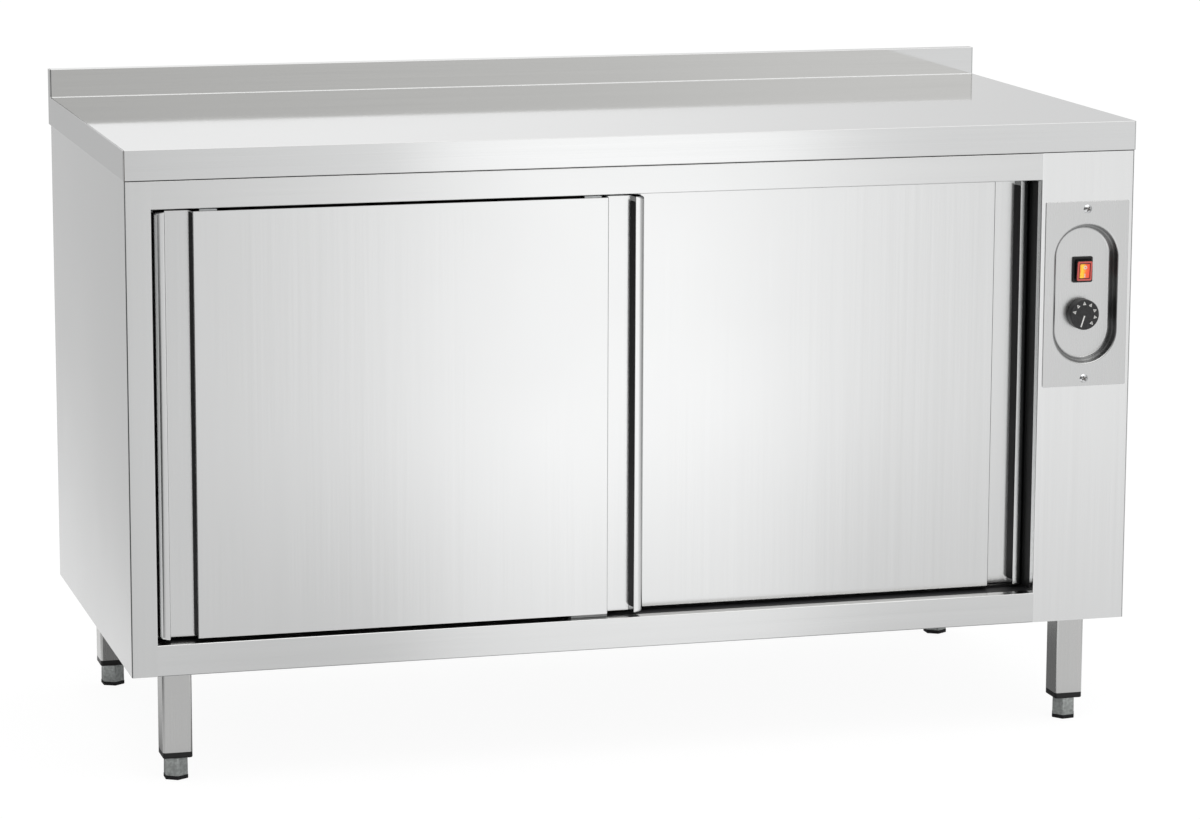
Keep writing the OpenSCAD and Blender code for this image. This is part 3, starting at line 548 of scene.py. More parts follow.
@dataclass(frozen=True)
class BrushedSteel(Finish):
    """Stainless steel with polishing lines.

    Attributes:
        tone: Base colour.
        grain: Way that the lines run.
        roughness: Mean roughness.
        streak: How much the lines change the colour.
        spread: How much wider a reflection is across the lines than along them.
        metal: Share of metal. The rest scatters light as a dull skin does.
        painted_dish_shade: Pairs of depth behind a pressed sheet's face, in millimetres, and the
            tone's share there: painted shade, with one lighter band of painted reflection, down
            the wall of its dish.
        face: Place of that face along Y, in millimetres.
    """

    tone: Colour = (0.80, 0.805, 0.805)
    grain: Grain = Grain.UPRIGHT
    roughness: float = 0.17
    streak: float = 0.03
    spread: float = 0.4
    metal: float = 1.0
    painted_dish_shade: tuple[Pair, ...] = ()
    face: float = 0.0

    def inputs(self, sketch: Sketch) -> dict[str, object]:
        """Give fine and broad streaks along the grain, and faint smudges; on a pressed plate,
        painted shade and reflection bands down its dish.

        Args:
            sketch: Where the nodes go.

        Returns:
            Values and sockets by the shader's input names.
        """
        fine = sketch.noise(self.stretched(1500, 5), 3, 0.6)
        broad = sketch.noise(self.stretched(140, 1.2), 4, 0.55)
        smudge = sketch.noise((3.5,) * 3)
        lines = sketch.maths("ADD", sketch.maths("MULTIPLY", fine, 0.55),
                             sketch.maths("MULTIPLY", broad, 0.45))
        colour = sketch.varied(lines, self.tone, self.streak)
        # Painted shade and reflection in a pressed plate's dish: the colour is scaled by the
        # depth behind its face.
        if self.painted_dish_shade:
            depth = sketch.maths("MULTIPLY_ADD", sketch.position()[1], 1 / MM, -self.face)
            colour = sketch.add("ShaderNodeVectorMath", {
                0: colour, "Scale": sketch.curve(depth, self.painted_dish_shade)},
                operation="SCALE").outputs[0]
        normal = sketch.add("ShaderNodeNewGeometry").outputs["Normal"]
        across = sketch.add("ShaderNodeVectorMath", {0: normal, 1: self.stretched(0.0, 1.0)},
                            operation="CROSS_PRODUCT").outputs[0]
        rough = sketch.maths("ADD", sketch.around(lines, 0, 0.025),
                             sketch.around(smudge, self.roughness, 0.015))
        return {"Base Color": colour, "Metallic": self.metal, "Roughness": rough,
                "Anisotropic": self.spread, "Tangent": across,
                "Normal": sketch.bump(fine, 0.1, 0.02)}

    def stretched(self, across: float, along: float) -> tuple[float, ...]:
        """Give three numbers for X, Y and Z: one along the grain, and one across it."""
        return tuple(along if i == self.grain.value else across for i in range(3))


@dataclass(frozen=True)
class Moulded(Finish):
    """Moulded or cast material with a fine skin.

    Attributes:
        tone: Base colour.
        roughness: Mean roughness.
        speckle: How much the colour varies from grain to grain.
        grains: Grains of the skin per metre.
        relief: Height of the skin's grains, in millimetres.
        metallic: Share of metal.
        glow: Strength of the light that it gives off, in its own colour.
    """

    tone: Colour
    roughness: float = 0.45
    speckle: float = 0.15
    grains: float = 900.0
    relief: float = 0.02
    metallic: float = 0.0
    glow: float = 0.0

    def inputs(self, sketch: Sketch) -> dict[str, object]:
        """Give a speckled colour, an uneven gloss and a fine relief.

        Args:
            sketch: Where the nodes go.

        Returns:
            Values and sockets by the shader's input names.
        """
        skin = sketch.noise((self.grains,) * 3, 2)
        inputs = {"Base Color": sketch.varied(skin, self.tone, self.speckle),
                  "Metallic": self.metallic,
                  "Roughness": sketch.around(sketch.noise((9,) * 3), self.roughness, 0.04),
                  "Normal": sketch.bump(skin, 0.3, self.relief)}
        if self.glow:
            inputs |= {"Emission Color": (*self.tone, 1), "Emission Strength": self.glow}
        return inputs


@dataclass(frozen=True)
class LitLens(Finish):
    """Clear red plastic with a lamp behind its left side.

    Attributes:
        stops: Pairs of share of the way across and colour there.
        ends: Left and right end of the lens, in millimetres.
        glow: Strength of the light that it gives off.
        roughness: Its roughness.
    """

    stops: tuple[tuple[float, Colour], ...]
    ends: Pair
    glow: float = 0.4
    roughness: float = 0.25

    def inputs(self, sketch: Sketch) -> dict[str, object]:
        """Give a ramp of colours across the lens, broken by soft clouds.

        Args:
            sketch: Where the nodes go.

        Returns:
            Values and sockets by the shader's input names.
        """
        left, right = self.ends
        share = sketch.scaled(sketch.position()[0], (left * MM, right * MM), (0, 1))
        cloud = sketch.around(sketch.noise((260,) * 3, 2), 0, 0.1)
        ramp = sketch.add("ShaderNodeValToRGB", {0: sketch.maths("ADD", share, cloud)})
        elements = ramp.color_ramp.elements
        for number, (spot, colour) in enumerate(self.stops):
            element = elements[number] if number < 2 else elements.new(spot)
            element.position = spot
            element.color = (*colour, 1)
        return {"Base Color": ramp.outputs[0], "Emission Color": ramp.outputs[0],
                "Emission Strength": self.glow, "Roughness": self.roughness}


class Palette:
    """Every finish of the cabinet, made once and handed out by name."""

    def __init__(self) -> None:
        """Make the materials."""
        pale = (0.80, 0.805, 0.805)
        finishes: list[Finish] = [
            BrushedSteel("body_steel", pale),
            BrushedSteel("column_steel", (0.90, 0.905, 0.905)),
            BrushedSteel("rail_steel", pale, Grain.LENGTHWISE),
            BrushedSteel("worktop_steel", (0.76, 0.765, 0.765), Grain.LENGTHWISE, 0.05,
                         spread=0.15),
            BrushedSteel("door_steel", (0.82, 0.825, 0.825)),
            # Its colour is scaled by depth into the dish: darker bands of painted shade and one
            # lighter band of painted reflection down the wall.
            BrushedSteel("plate_steel", (0.74, 0.745, 0.745), roughness=0.28, spread=0.2,
                         painted_dish_shade=((0, 1), (0.9, 0.8), (2.4, 0.36), (6, 0.34), (8, 0.62),
                                (10, 0.36), (13.2, 0.4), (15.2, 0.8), (15.9, 1)),
                         face=-328.75),
            BrushedSteel("leg_steel", (0.69, 0.69, 0.685), roughness=0.26),
            BrushedSteel("inner_steel", (0.68, 0.69, 0.70), roughness=0.42, streak=0.05,
                         metal=0.8),
            Moulded("zinc_plate", (0.55, 0.57, 0.58), 0.32, 0.1, 500, 0.01, metallic=1.0),
            Moulded("foot_metal", (0.56, 0.59, 0.58), 0.32, 0.22, 260, 0.25, metallic=0.5),
            Moulded("screw_metal", (0.82, 0.83, 0.84), 0.12, 0.04, 400, 0.004, metallic=1.0),
            Moulded("track_aluminium", (0.55, 0.56, 0.58), 0.36, 0.08, 500, 0.01, metallic=1.0),
            Moulded("motor_paint", (0.20, 0.21, 0.23), 0.4, 0.1, 600, 0.02, metallic=0.4),
            # Dark metal of the rods; the same colour fills the screws' cross recesses as painted
            # shade.
            Moulded("rod_metal_and_recess_shade", (0.20, 0.19, 0.18), 0.45, 0.2, 500, 0.02, metallic=1.0),
            Moulded("black_plastic", (0.012, 0.012, 0.013), 0.42, 0.2, 1200, 0.02),
            Moulded("guide_plastic", (0.022, 0.022, 0.024), 0.5, 0.2, 900, 0.02),
            Moulded("grip_plastic", (0.005, 0.005, 0.006), 0.55, 0.2, 1200, 0.015),
            Moulded("knob_plastic", (0.028, 0.028, 0.030), 0.42, 0.6, 700, 0.05),
            Moulded("sole_rubber", (0.012, 0.012, 0.014), 0.6, 0.25, 800, 0.03),
            Moulded("shoe_plastic", (0.36, 0.37, 0.37), 0.4, 0.08, 700, 0.01),
            Moulded("print_white", (0.93, 0.93, 0.91), 0.5, 0.04, 900, 0.002),
            Moulded("nylon", (0.78, 0.78, 0.74), 0.38, 0.04, 500, 0.01),
            Moulded("ivory_plastic", (0.76, 0.72, 0.60), 0.4, 0.05, 500, 0.01),
            # The worktop's chipboard core, darkened far below chipboard's own colour as painted
            # shade in the worktop's seams, where it shows.
            Moulded("chipboard_seam_shade", (0.10, 0.075, 0.05), 0.8, 0.45, 420, 0.3),
            Moulded("mineral_wool", (0.55, 0.48, 0.22), 0.95, 0.4, 300, 0.8),
            Moulded("wire_insulation", (0.35, 0.03, 0.02), 0.4, 0.1, 700, 0.01),
            Moulded("rocker_red", (0.72, 0.13, 0.11), 0.3, 0.1, 600, 0.005, glow=0.12),
            # A far darker copy of the rocker's red: painted shade in the groove round the lens.
            Moulded("groove_painted_shade", (0.13, 0.03, 0.035), 0.5, 0.1, 600, 0.005),
            LitLens("lit_lens", ((0.0, (1.0, 0.30, 0.03)), (0.18, (1.0, 0.62, 0.05)),
                                 (0.38, (1.0, 0.50, 0.04)), (0.62, (0.93, 0.14, 0.04)),
                                 (1.0, (0.82, 0.07, 0.05))), (624.3, 638.7)),
        ]
        self.materials = {finish.name: finish.material() for finish in finishes}

    def __getitem__(self, name: str) -> bpy.types.Material:
        """Give a material by its name."""
        return self.materials[name]


@dataclass
class Assembly:
    """What every sub-assembly shares.

    Attributes:
        palette: The finishes.
    """

    palette: Palette

    def finished(self, draft: Draft, name: str, material: str, slot: str, body: str,
                 *nodes: str, smooth: float = 35.0) -> None:
        """Build a piece and say what it rides on and stands for.

        Args:
            draft: Its surfaces.
            name: Its name.
            material: Name of its finish.
            slot: The record's material slot. Not used.
            body: The body that it moves with.
            nodes: The nodes that it stands for.
            smooth: Edges with a larger angle stay sharp, in degrees.
        """
        piece = draft.build(name, self.palette[material], smooth)
        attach(piece, body)
        if nodes:
            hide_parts(*nodes)
        LOG.info("%s rides on %s", name, body)


@dataclass
class WorktopSet(Assembly):
    """The folded worktop with its boxed upstand.

    Attributes:
        sheet: Thickness of its sheet.
        upstand: Thickness of the upstand.
        surface: Height of the worktop's surface.
        fold: Outer radius of its folds, and the radius between the surface and the upstand.
        lower_fold: Radius of its lower front edge.
        hem: Width of the hem behind that edge.
        edge: Rounding of the end plates.
        seams: Width of the seam beside the left and the right end plate.
    """

    sheet: float = 1.2
    upstand: float = 18.0
    surface: float = 850.0
    fold: float = 0.8
    lower_fold: float = 1.3
    hem: float = 3.0
    edge: float = 0.4
    seams: Pair = (0.8, 0.1)

    def make(self) -> None:
        """Build the folded top and its two end plates as one welded piece."""
        (_, front, bottom), (right, rear, top) = node_box("worktop")
        face, end, middle = rear - self.upstand, right - self.sheet, (front + rear) / 2
        outer = [(rear, top, self.fold), (face, top, self.fold),
                 (face, self.surface, self.fold), (front, self.surface, self.fold)]
        draft = Draft()
        draft.bent_sheet([(rear, bottom, 0), *outer, (front, bottom, self.lower_fold),
                          (front + self.hem, bottom, 0)],
                         self.sheet, Axis.X, -end + self.seams[0], end - self.seams[1])
        side = rounded_path([(middle, bottom, 0), (rear, bottom, self.edge), *outer,
                             (front, bottom, self.edge), (middle - 1, bottom, 0)])
        draft.prism(side, Axis.X, -right, -end, self.edge, 0.1)
        draft.prism(side, Axis.X, end, right, 0.1, self.edge)
        self.finished(draft, "worktop_sheet", "worktop_steel", "stainless_satin", "cabinet",
                      "worktop")


@dataclass
class BodySet(Assembly):
    """The body's visible sheets, with a dark strip as painted shade in the gap under the worktop,
    and thin black strips on the jambs.

    Attributes:
        sheet: Thickness of the sheet.
        fold: Outer radius of the sharp folds.
        corner: Outer radius of the body's upright corner and of its lower front edge.
        side_edge: Radius of the right side's front edge.
        trim: Radius of the right side's other edges.
        end: Rounding of the left side's cut ends.
        ledge: Depth of the ledge in front of the guide.
        trough_fold: Radius of the folds in the guide's trough.
        lip: Depth of the top rail's lower return.
        hem: Depth of the bottom rail's lower return.
        overlap: How far a rail's ends lie over the folds beside them.
        joint: Width of the joint between the column's face and the right side.
        shadow: Height of the dark gap under the worktop's front edge.
        shade_strip_width: Thickness of the dark strip in that gap, which paints its shade.
        jamb_strip: Thickness of the black strip on a jamb.
        rib: Thickness of that strip at its rib.
        jamb_strip_starts: Distance from a front face to the strip on its jamb, left and right.
        jamb_strip_end: Distance from a front face to a strip's rear edge.
        rib_place: Distance from that edge to the rib.
        jamb_strip_gap: Distance from a strip's ends to the rails.
        hole_radius: Radius of the column's hole for the dish.
        hole_straight: Half the straight length of that hole.
        hole_middle: Height of its middle.
    """

    sheet: float = 1.2
    fold: float = 1.2
    corner: float = 2.0
    side_edge: float = 0.8
    trim: float = 0.3
    end: float = 0.6
    ledge: float = 18.0
    trough_fold: float = 1.0
    lip: float = 7.0
    hem: float = 5.0
    overlap: float = 1.0
    joint: float = 0.45
    shadow: float = 0.9
    shade_strip_width: float = 0.6
    jamb_strip: float = 0.4
    rib: float = 0.6
    jamb_strip_starts: Pair = (33.0, 14.0)
    jamb_strip_end: float = 61.0
    rib_place: float = 20.0
    jamb_strip_gap: float = 3.0
    hole_radius: float = 48.92
    hole_straight: float = 50.5
    hole_middle: float = 612.5

    def make(self) -> None:
        """Build the black strips on the jambs, the dark strip of painted shade under the worktop
        and the five sheets.
        """
        self.jamb_strips()
        self.shade_strip()
        self.left_side()
        self.right_side()
        self.top_rail()
        self.bottom_rail()
        self.column()

    def sheet_done(self, draft: Draft, name: str, material: str, node: str) -> None:
        """Finish one of the body's steel sheets."""
        self.finished(draft, name, material, "stainless_satin", "cabinet", node)

    def jamb_strips(self) -> None:
        """Build a thin black strip with a rib along it on both jambs."""
        face = node_box("control_fascia")[0][1]
        bottom = node_box("bottom_rail")[1][2] + self.jamb_strip_gap
        top = node_box("top_rail")[0][2] - self.jamb_strip_gap
        rear = face + self.jamb_strip_end
        rib, thin, half = rear - self.rib_place, self.jamb_strip, self.jamb_strip / 2
        jambs = (node_box("left_side_panel")[1][0], node_box("control_fascia")[0][0])
        draft = Draft()
        for jamb, start, outward in zip(jambs, self.jamb_strip_starts, (1.0, -1.0)):
            section = rounded_path([
                (0.0, face + start, 0), (thin, face + start, half), (thin, rib - thin, half),
                (self.rib, rib, 0.1), (thin, rib + thin, half), (thin, rear, half),
                (0.0, rear, 0)], 3)
            section = section * np.array([outward, 1]) + np.array([jamb, 0])
            draft.prism(section if outward > 0 else section[::-1], Axis.Z, bottom, top, 0.1, 0.1)
        self.finished(draft, "jamb_dark_strips", "grip_plastic", "black_plastic", "cabinet")

    def shade_strip(self) -> None:
        """Build the black strip that fills the gap under the worktop's front edge: painted shade
        there, which also hides what lies behind.
        """
        low, high = node_box("worktop")
        spot = node_box("top_rail")[0][1] + self.sheet - self.shade_strip_width / 2 - 0.05
        tall = self.shadow + self.sheet
        draft = Draft()
        draft.prism(rounded_rectangle(self.shade_strip_width, tall, 0.2, (spot, low[2] - tall / 2)),
                    Axis.X, low[0] + 2 * self.sheet, high[0] - 2 * self.sheet)
        self.finished(draft, "worktop_shade_strip", "grip_plastic", "black_plastic", "cabinet")

    def lower_front(self, draft: Draft, front: float, top: float) -> None:
        """Lower the top edge of a front sheet, which leaves the gap under the worktop.

        Args:
            draft: The sheet's surfaces.
            front: Place of the sheet's face.
            top: Height of its top edge.
        """
        for points in draft.points:
            edge = (points[:, 1] < front + self.sheet + 0.1) & (points[:, 2] > top - 1)
            points[edge, 2] -= self.shadow

    def left_side(self) -> None:
        """Build the left side, whose sheet turns into the stile and the jamb."""
        low, high = node_box("left_side_panel")
        draft = Draft()
        draft.bent_sheet([
            (low[0], high[1], 0), (low[0], low[1], self.corner), (high[0], low[1], self.fold),
            (high[0], node_box("top_rail")[1][1], 0)],
            self.sheet, Axis.Z, low[2], high[2], self.end)
        self.lower_front(draft, low[1], high[2])
        self.sheet_done(draft, "left_side_sheet", "body_steel", "left_side_panel")

    def right_side(self) -> None:
        """Build the right side, with a rounded front edge."""
        low, high = node_box("right_side_panel")
        middle = (low[1] + high[1]) / 2
        outline = rounded_path([
            (low[0], middle, 0), (low[0], low[1], self.trim), (high[0], low[1], self.side_edge),
            (high[0], high[1], self.trim), (low[0], high[1], self.trim),
            (low[0], middle + 1, 0)])
        draft = Draft()
        draft.prism(outline, Axis.Z, low[2], high[2])
        self.sheet_done(draft, "right_side_sheet", "body_steel", "right_side_panel")

    def rail(self, corners: Sequence[Sequence[float]], name: str, node: str) -> None:
        """Build a rail from its section, with ends that lie over the folds beside them.

        Args:
            corners: Corners of the section with their radii.
            name: Name of the piece.
            node: The node that it stands for.
        """
        low, high = node_box(node)
        draft = Draft()
        draft.bent_sheet(corners, self.sheet, Axis.X, low[0] - self.overlap,
                         high[0] + self.overlap, 0.1)
        self.sheet_done(draft, name, "rail_steel", node)

    def top_rail(self) -> None:
        """Build the rail over the doors, with its return and its flange under the worktop."""
        (_, front, bottom), (_, rear, high) = node_box("top_rail")
        top = high - self.shadow
        self.rail([(rear, top, 0), (front, top, self.fold), (front, bottom, self.fold),
                   (front + self.lip, bottom, 0)], "top_rail_sheet", "top_rail")

    def bottom_rail(self) -> None:
        """Build the rail under the doors, with its ledge and the guide's trough."""
        (_, front, bottom), (_, rear, top) = node_box("bottom_rail")
        trough = node_box("door_guide")[0][2]
        back, wall = front + self.ledge, rear - self.sheet
        self.rail([(wall, top, 0), (wall, trough, self.trough_fold),
                   (back, trough, self.trough_fold), (back, top, self.fold),
                   (front, top, self.fold), (front, bottom, self.corner),
                   (front + self.hem, bottom, 0)], "bottom_rail_sheet", "bottom_rail")

    def column(self) -> None:
        """Build the control column's face with its jamb, and the hole that takes the dish."""
        low, high = node_box("control_fascia")
        start = low[0] + self.fold + self.sheet
        middle = (low[0] + node_box("right_side_panel")[1][0]) / 2
        draft = Draft()
        draft.bent_sheet([
            (low[0], high[1], 0), (low[0], low[1], self.fold), (start, low[1], 0)],
            self.sheet, Axis.Z, low[2], high[2])
        ring = DishRing(self.hole_straight, middle - start, high[0] - middle,
                        high[2] - self.hole_middle, self.hole_middle - low[2])
        hole = ring.stadium(self.hole_radius)
        edge = ring.rectangle(0, 0.2)
        edge[:, 0] = np.minimum(edge[:, 0], high[0] - middle - self.joint)
        front, rear = low[1], low[1] + self.sheet
        loops = [(hole, rear), (hole, front), (edge, front), (edge, rear), (hole, rear)]
        draft.rings(stacked(loops, Axis.Y, (middle, 0, self.hole_middle)), Axis.Y, capped=False)
        self.lower_front(draft, low[1], high[2])
        self.sheet_done(draft, "control_column_sheet", "column_steel", "control_fascia")


@dataclass
class DishRing:
    """Matching loops round an upright stadium, from its edge out to a rectangle.

    Point i of every loop lies on the same ray, so neighbouring loops join into quads.

    Attributes:
        straight: Half the stadium's straight length.
        left: Distance from the middle to the rectangle's left edge.
        right: Distance to its right edge.
        up: Distance to its top edge.
        down: Distance to its bottom edge.
    """

    straight: float
    left: float
    right: float
    up: float
    down: float

    def rays(self) -> tuple[np.ndarray, np.ndarray]:
        """Give the rays, evenly spread and with some through each corner.

        Returns:
            Start height and angle of each, in radians.
        """
        tall, deep = self.up - self.straight, self.straight - self.down
        near = np.radians(np.array([-1.2, -0.8, -0.5, -0.25, 0, 0.25, 0.5, 0.8, 1.2]))
        base = np.linspace(0, math.pi, 37)
        top = np.concatenate([base, math.atan2(tall, self.right) + near,
                              math.atan2(tall, -self.left) + near])
        bottom = np.concatenate([base + math.pi,
                                 math.atan2(deep, -self.left) + 2 * math.pi + near,
                                 math.atan2(deep, self.right) + 2 * math.pi + near])
        top, bottom = np.unique(top.round(9)), np.unique(bottom.round(9))
        heights = np.repeat([self.straight, -self.straight], [len(top), len(bottom)])
        return heights, np.concatenate([top, bottom])

    def stadium(self, radius: float) -> np.ndarray:
        """Give the stadium: each ray's start height plus radius * (cos a, sin a).

        Args:
            radius: Radius of its ends.

        Returns:
            Points of shape (n, 2).
        """
        heights, angles = self.rays()
        flat = radius * polar(angles)
        flat[:, 1] += heights
        return flat

    def rectangle(self, inset: float, radius: float) -> np.ndarray:
        """Give the rectangle, moved inwards and with round corners.

        Each ray ends at the nearest edge. A point inside a corner's square then moves to the
        circle of that corner.

        Args:
            inset: How far the edges move inwards.
            radius: Radius of the corners.

        Returns:
            Points of shape (n, 2).
        """
        heights, angles = self.rays()
        cosine, sine = np.cos(angles), np.sin(angles)
        wide = np.where(cosine > 0, self.right, self.left) - inset
        tall = np.where(sine > 0, self.up - heights, self.down + heights) - inset
        reach = np.minimum(wide / np.maximum(np.abs(cosine), 1e-9),
                           tall / np.maximum(np.abs(sine), 1e-9))
        flat = np.stack([reach * cosine, heights + reach * sine], axis=-1)
        low = np.array([-self.left, -self.down]) + inset + radius
        high = np.array([self.right, self.up]) - inset - radius
        centre = np.clip(flat, low, high)
        away = flat - centre
        length = np.linalg.norm(away, axis=1, keepdims=True)
        both = np.all(np.abs(away) > 1e-6, axis=1, keepdims=True)
        return np.where(both, centre + away * radius / np.maximum(length, 1e-9), flat)


@dataclass
class DoorSet(Assembly):
    """The two sliding doors' skins, with their black grip liners, and dark strips on their outer
    edges that paint the shadow in the gaps beside the noses.

    Attributes:
        skin: Thickness of the skin.
        nose: Width of the rounded nose at each end.
        nose_radius: Radius of its outer front corner.
        inner_fold: Radius of its corner beside the channel.
        channel: Width of the grip channel.
        depth: Depth of the channel.
        floor_fold: Radius of the folds beside the channel's floor.
        slopes: How far the channel's walls lean, on the nose's side and on the panel's.
        bow: How much deeper the channel is beside the nose than beside the panel.
        fold: Radius at the edge of the main panel.
        nose_end: Rounding of the nose's upper and lower end.
        edge: Rounding of the other ends.
        ease: Distance over which one rounding turns into the other, and where that starts,
            counted back from the nose's width.
        liner: Thickness of a liner.
        thin: Thickness of the liners on the walls that face right.
        short: Depth at which those liners begin.
        liner_ends: Distance between a liner's end and the door's end, on the nose's wall and
            on the panel's.
        liner_corner: Radius of a liner's corners.
        shade_strip: How far the dark strips on the door's outer edges stand out. They paint the
            shadow in the gaps beside the noses.
        shade_strip_depth: Depth of such a strip.
        shade_strip_back: Distance from the middle of a strip to the skin's rear edge.
    """

    skin: float = 1.0
    nose: float = 14.0
    nose_radius: float = 8.5
    inner_fold: float = 1.0
    channel: float = 37.0
    depth: float = 16.0
    floor_fold: float = 1.0
    slopes: Pair = (2.6, 2.0)
    bow: float = 0.5
    fold: float = 1.4
    nose_end: float = 4.0
    edge: float = 0.5
    ease: Pair = (7.0, 2.0)
    liner: float = 0.8
    thin: float = 0.2
    short: float = 9.0
    liner_ends: Pair = (7.0, 2.0)
    liner_corner: float = 2.0
    shade_strip: float = 0.8
    shade_strip_depth: float = 7.0
    shade_strip_back: float = 4.5

    def make(self) -> None:
        """Build both doors."""
        for side in ("left", "right"):
            self.front(side)
            self.grips(side)
            self.edge_shade_strips(side)

    def half_corners(self, back: float) -> list[tuple[float, float, float]]:
        """Give the corners of a door's left half, from its rear edge to its main panel.

        Args:
            back: Depth of the door's front.

        Returns:
            Triples of two places and the corner's radius.
        """
        far = self.nose + self.channel
        near, away = self.slopes
        return [(0, back, 0), (0, 0, self.nose_radius), (self.nose, 0, self.inner_fold),
                (self.nose + near, self.depth + self.bow / 2, self.floor_fold),
                (far - away, self.depth - self.bow / 2, self.floor_fold), (far, 0, self.fold)]

    def front(self, side: str) -> None:
        """Build a door's front skin as a tray that is open at its rear.

        Args:
            side: Which door, left or right.
        """
        low, high = node_box(f"{side}_door_front")
        width, back = high[0] - low[0], high[1] - low[1]
        half = self.half_corners(back)
        other = [(width - x, y, r) for x, y, r in half[::-1]]
        path = rounded_path(half + other, 8)
        ends = np.minimum(path[:, 0], width - path[:, 0])
        ease = np.clip((self.nose - self.ease[1] - ends) / self.ease[0], 0, 1)
        rounding = self.edge + (self.nose_end - self.edge) * ease * ease * (3 - 2 * ease)
        draft = Draft()
        self.tray(draft, path + np.array([low[0], low[1]]), rounding, low[2], high[2])
        self.finished(draft, f"{side}_door_skin", "door_steel", "door_steel", f"{side}_door",
                      f"{side}_door_front")

    def tray(self, draft: Draft, path: np.ndarray, rounding: np.ndarray, start: float,
             end: float) -> None:
        """Add an upright tray with two closed ends and an open rear.

        Its outer rings follow the path as a prism's do, and its inner rings lie one skin
        inside them. A rim joins the two at the rear.

        Args:
            draft: Where the surfaces go.
            path: Outer path from one rear edge to the other, outside on the right.
            rounding: Radius at the ends for each point of the path.
            start: Lower end.
            end: Upper end.
        """
        normal = left_normals(path, closed=False)
        normal[[0, -1], 1] = 0
        normal[[0, -1]] /= np.linalg.norm(normal[[0, -1]], axis=1, keepdims=True)
        angle = np.radians(np.linspace(0, 90, 6))[:, None]
        walls = []
        for shift, radius in ((0.0, rounding[None]),
                              (self.skin, np.maximum(rounding - self.skin, 0.05)[None])):
            inset = radius * (1 - np.sin(angle))
            rise = shift + radius * (1 - np.cos(angle))
            inset = np.concatenate([inset, inset[::-1]]) + shift
            along = np.concatenate([start + rise, end - rise[::-1]])
            walls.append(place(path[None] + normal[None] * inset[..., None], along, Axis.Z))
        rows, places = walls[0].shape[:2]
        index = np.arange(rows * places).reshape(rows, places)
        quads = np.stack([index[:-1, :-1], index[:-1, 1:], index[1:, 1:], index[1:, :-1]], -1)
        outer = quads.reshape(-1, 4).tolist()
        count = rows * places
        cap = triangles(walls[0][0])
        outer += [face[::-1] for face in cap]
        outer += [[count - places + i for i in face] for face in cap]
        inner = [[i + count for i in face[::-1]] for face in outer]
        left, right = index[:, 0], index[:, -1]
        edge = np.concatenate([left, right[::-1], left[:1]])
        rim = np.stack([edge[:-1], edge[1:], edge[1:] + count, edge[:-1] + count], -1).tolist()
        draft.add(np.concatenate([w.reshape(-1, 3) for w in walls]), outer + inner + rim)

    def edge_shade_strips(self, side: str) -> None:
        """Build the thin black strips on a door's two outer edges, beside its rear: painted
        shadow in the gaps beside the noses.

        Args:
            side: Which door, left or right.
        """
        low, high = node_box(f"{side}_door_front")
        draft = Draft()
        for x in (low[0] - self.shade_strip / 2, high[0] + self.shade_strip / 2):
            outline = rounded_rectangle(self.shade_strip, self.shade_strip_depth, 0.3,
                                        (x, high[1] - self.shade_strip_back))
            draft.prism(outline, Axis.Z, low[2] + self.nose_end, high[2] - self.nose_end)
        self.finished(draft, f"{side}_door_edge_seals", "grip_plastic", "black_plastic",
                      f"{side}_door")

    def grips(self, side: str) -> None:
        """Build the black liners on the four walls of a door's grip channels.

        A liner is a plate with round ends in its own plane of depth and height, and each
        point then leans sideways with its depth as the channel's wall does.

        Args:
            side: Which door, left or right.
        """
        low, high = node_box(f"{side}_door_front")
        width = high[0] - low[0]
        middle, tall = (low[2] + high[2]) / 2, high[2] - low[2]
        walls = [(self.nose, self.inner_fold, self.slopes[0], self.liner_ends[0]),
                 (self.nose + self.channel, self.fold, -self.slopes[1], self.liner_ends[1])]
        draft = Draft()
        for (spot, fold, lean, end), mirrored in [(w, m) for w in walls for m in (False, True)]:
            facing_left = mirrored == (lean > 0)
            begin = fold if facing_left else self.short
            thick = self.liner if facing_left else self.thin
            outline = rounded_rectangle(self.depth - begin, tall - 2 * end, self.liner_corner,
                                        ((begin + self.depth) / 2, middle))
            plate = Draft()
            plate.prism(outline, Axis.X, 0, thick, 0.35 * thick, 0.35 * thick)
            points = np.concatenate(plate.points)
            wall = (spot + lean * points[:, 1] / self.depth
                    + math.copysign(1, lean) * points[:, 0])
            x = low[0] + (width - wall if mirrored else wall)
            turned = (lean < 0) != mirrored
            draft.add(np.stack([x, low[1] + points[:, 1], points[:, 2]], axis=-1),
                      [f[::-1] for f in plate.faces] if turned else plate.faces)
        self.finished(draft, f"{side}_door_grip_liners", "grip_plastic", "black_plastic",
                      f"{side}_door", f"{side}_door_grips")


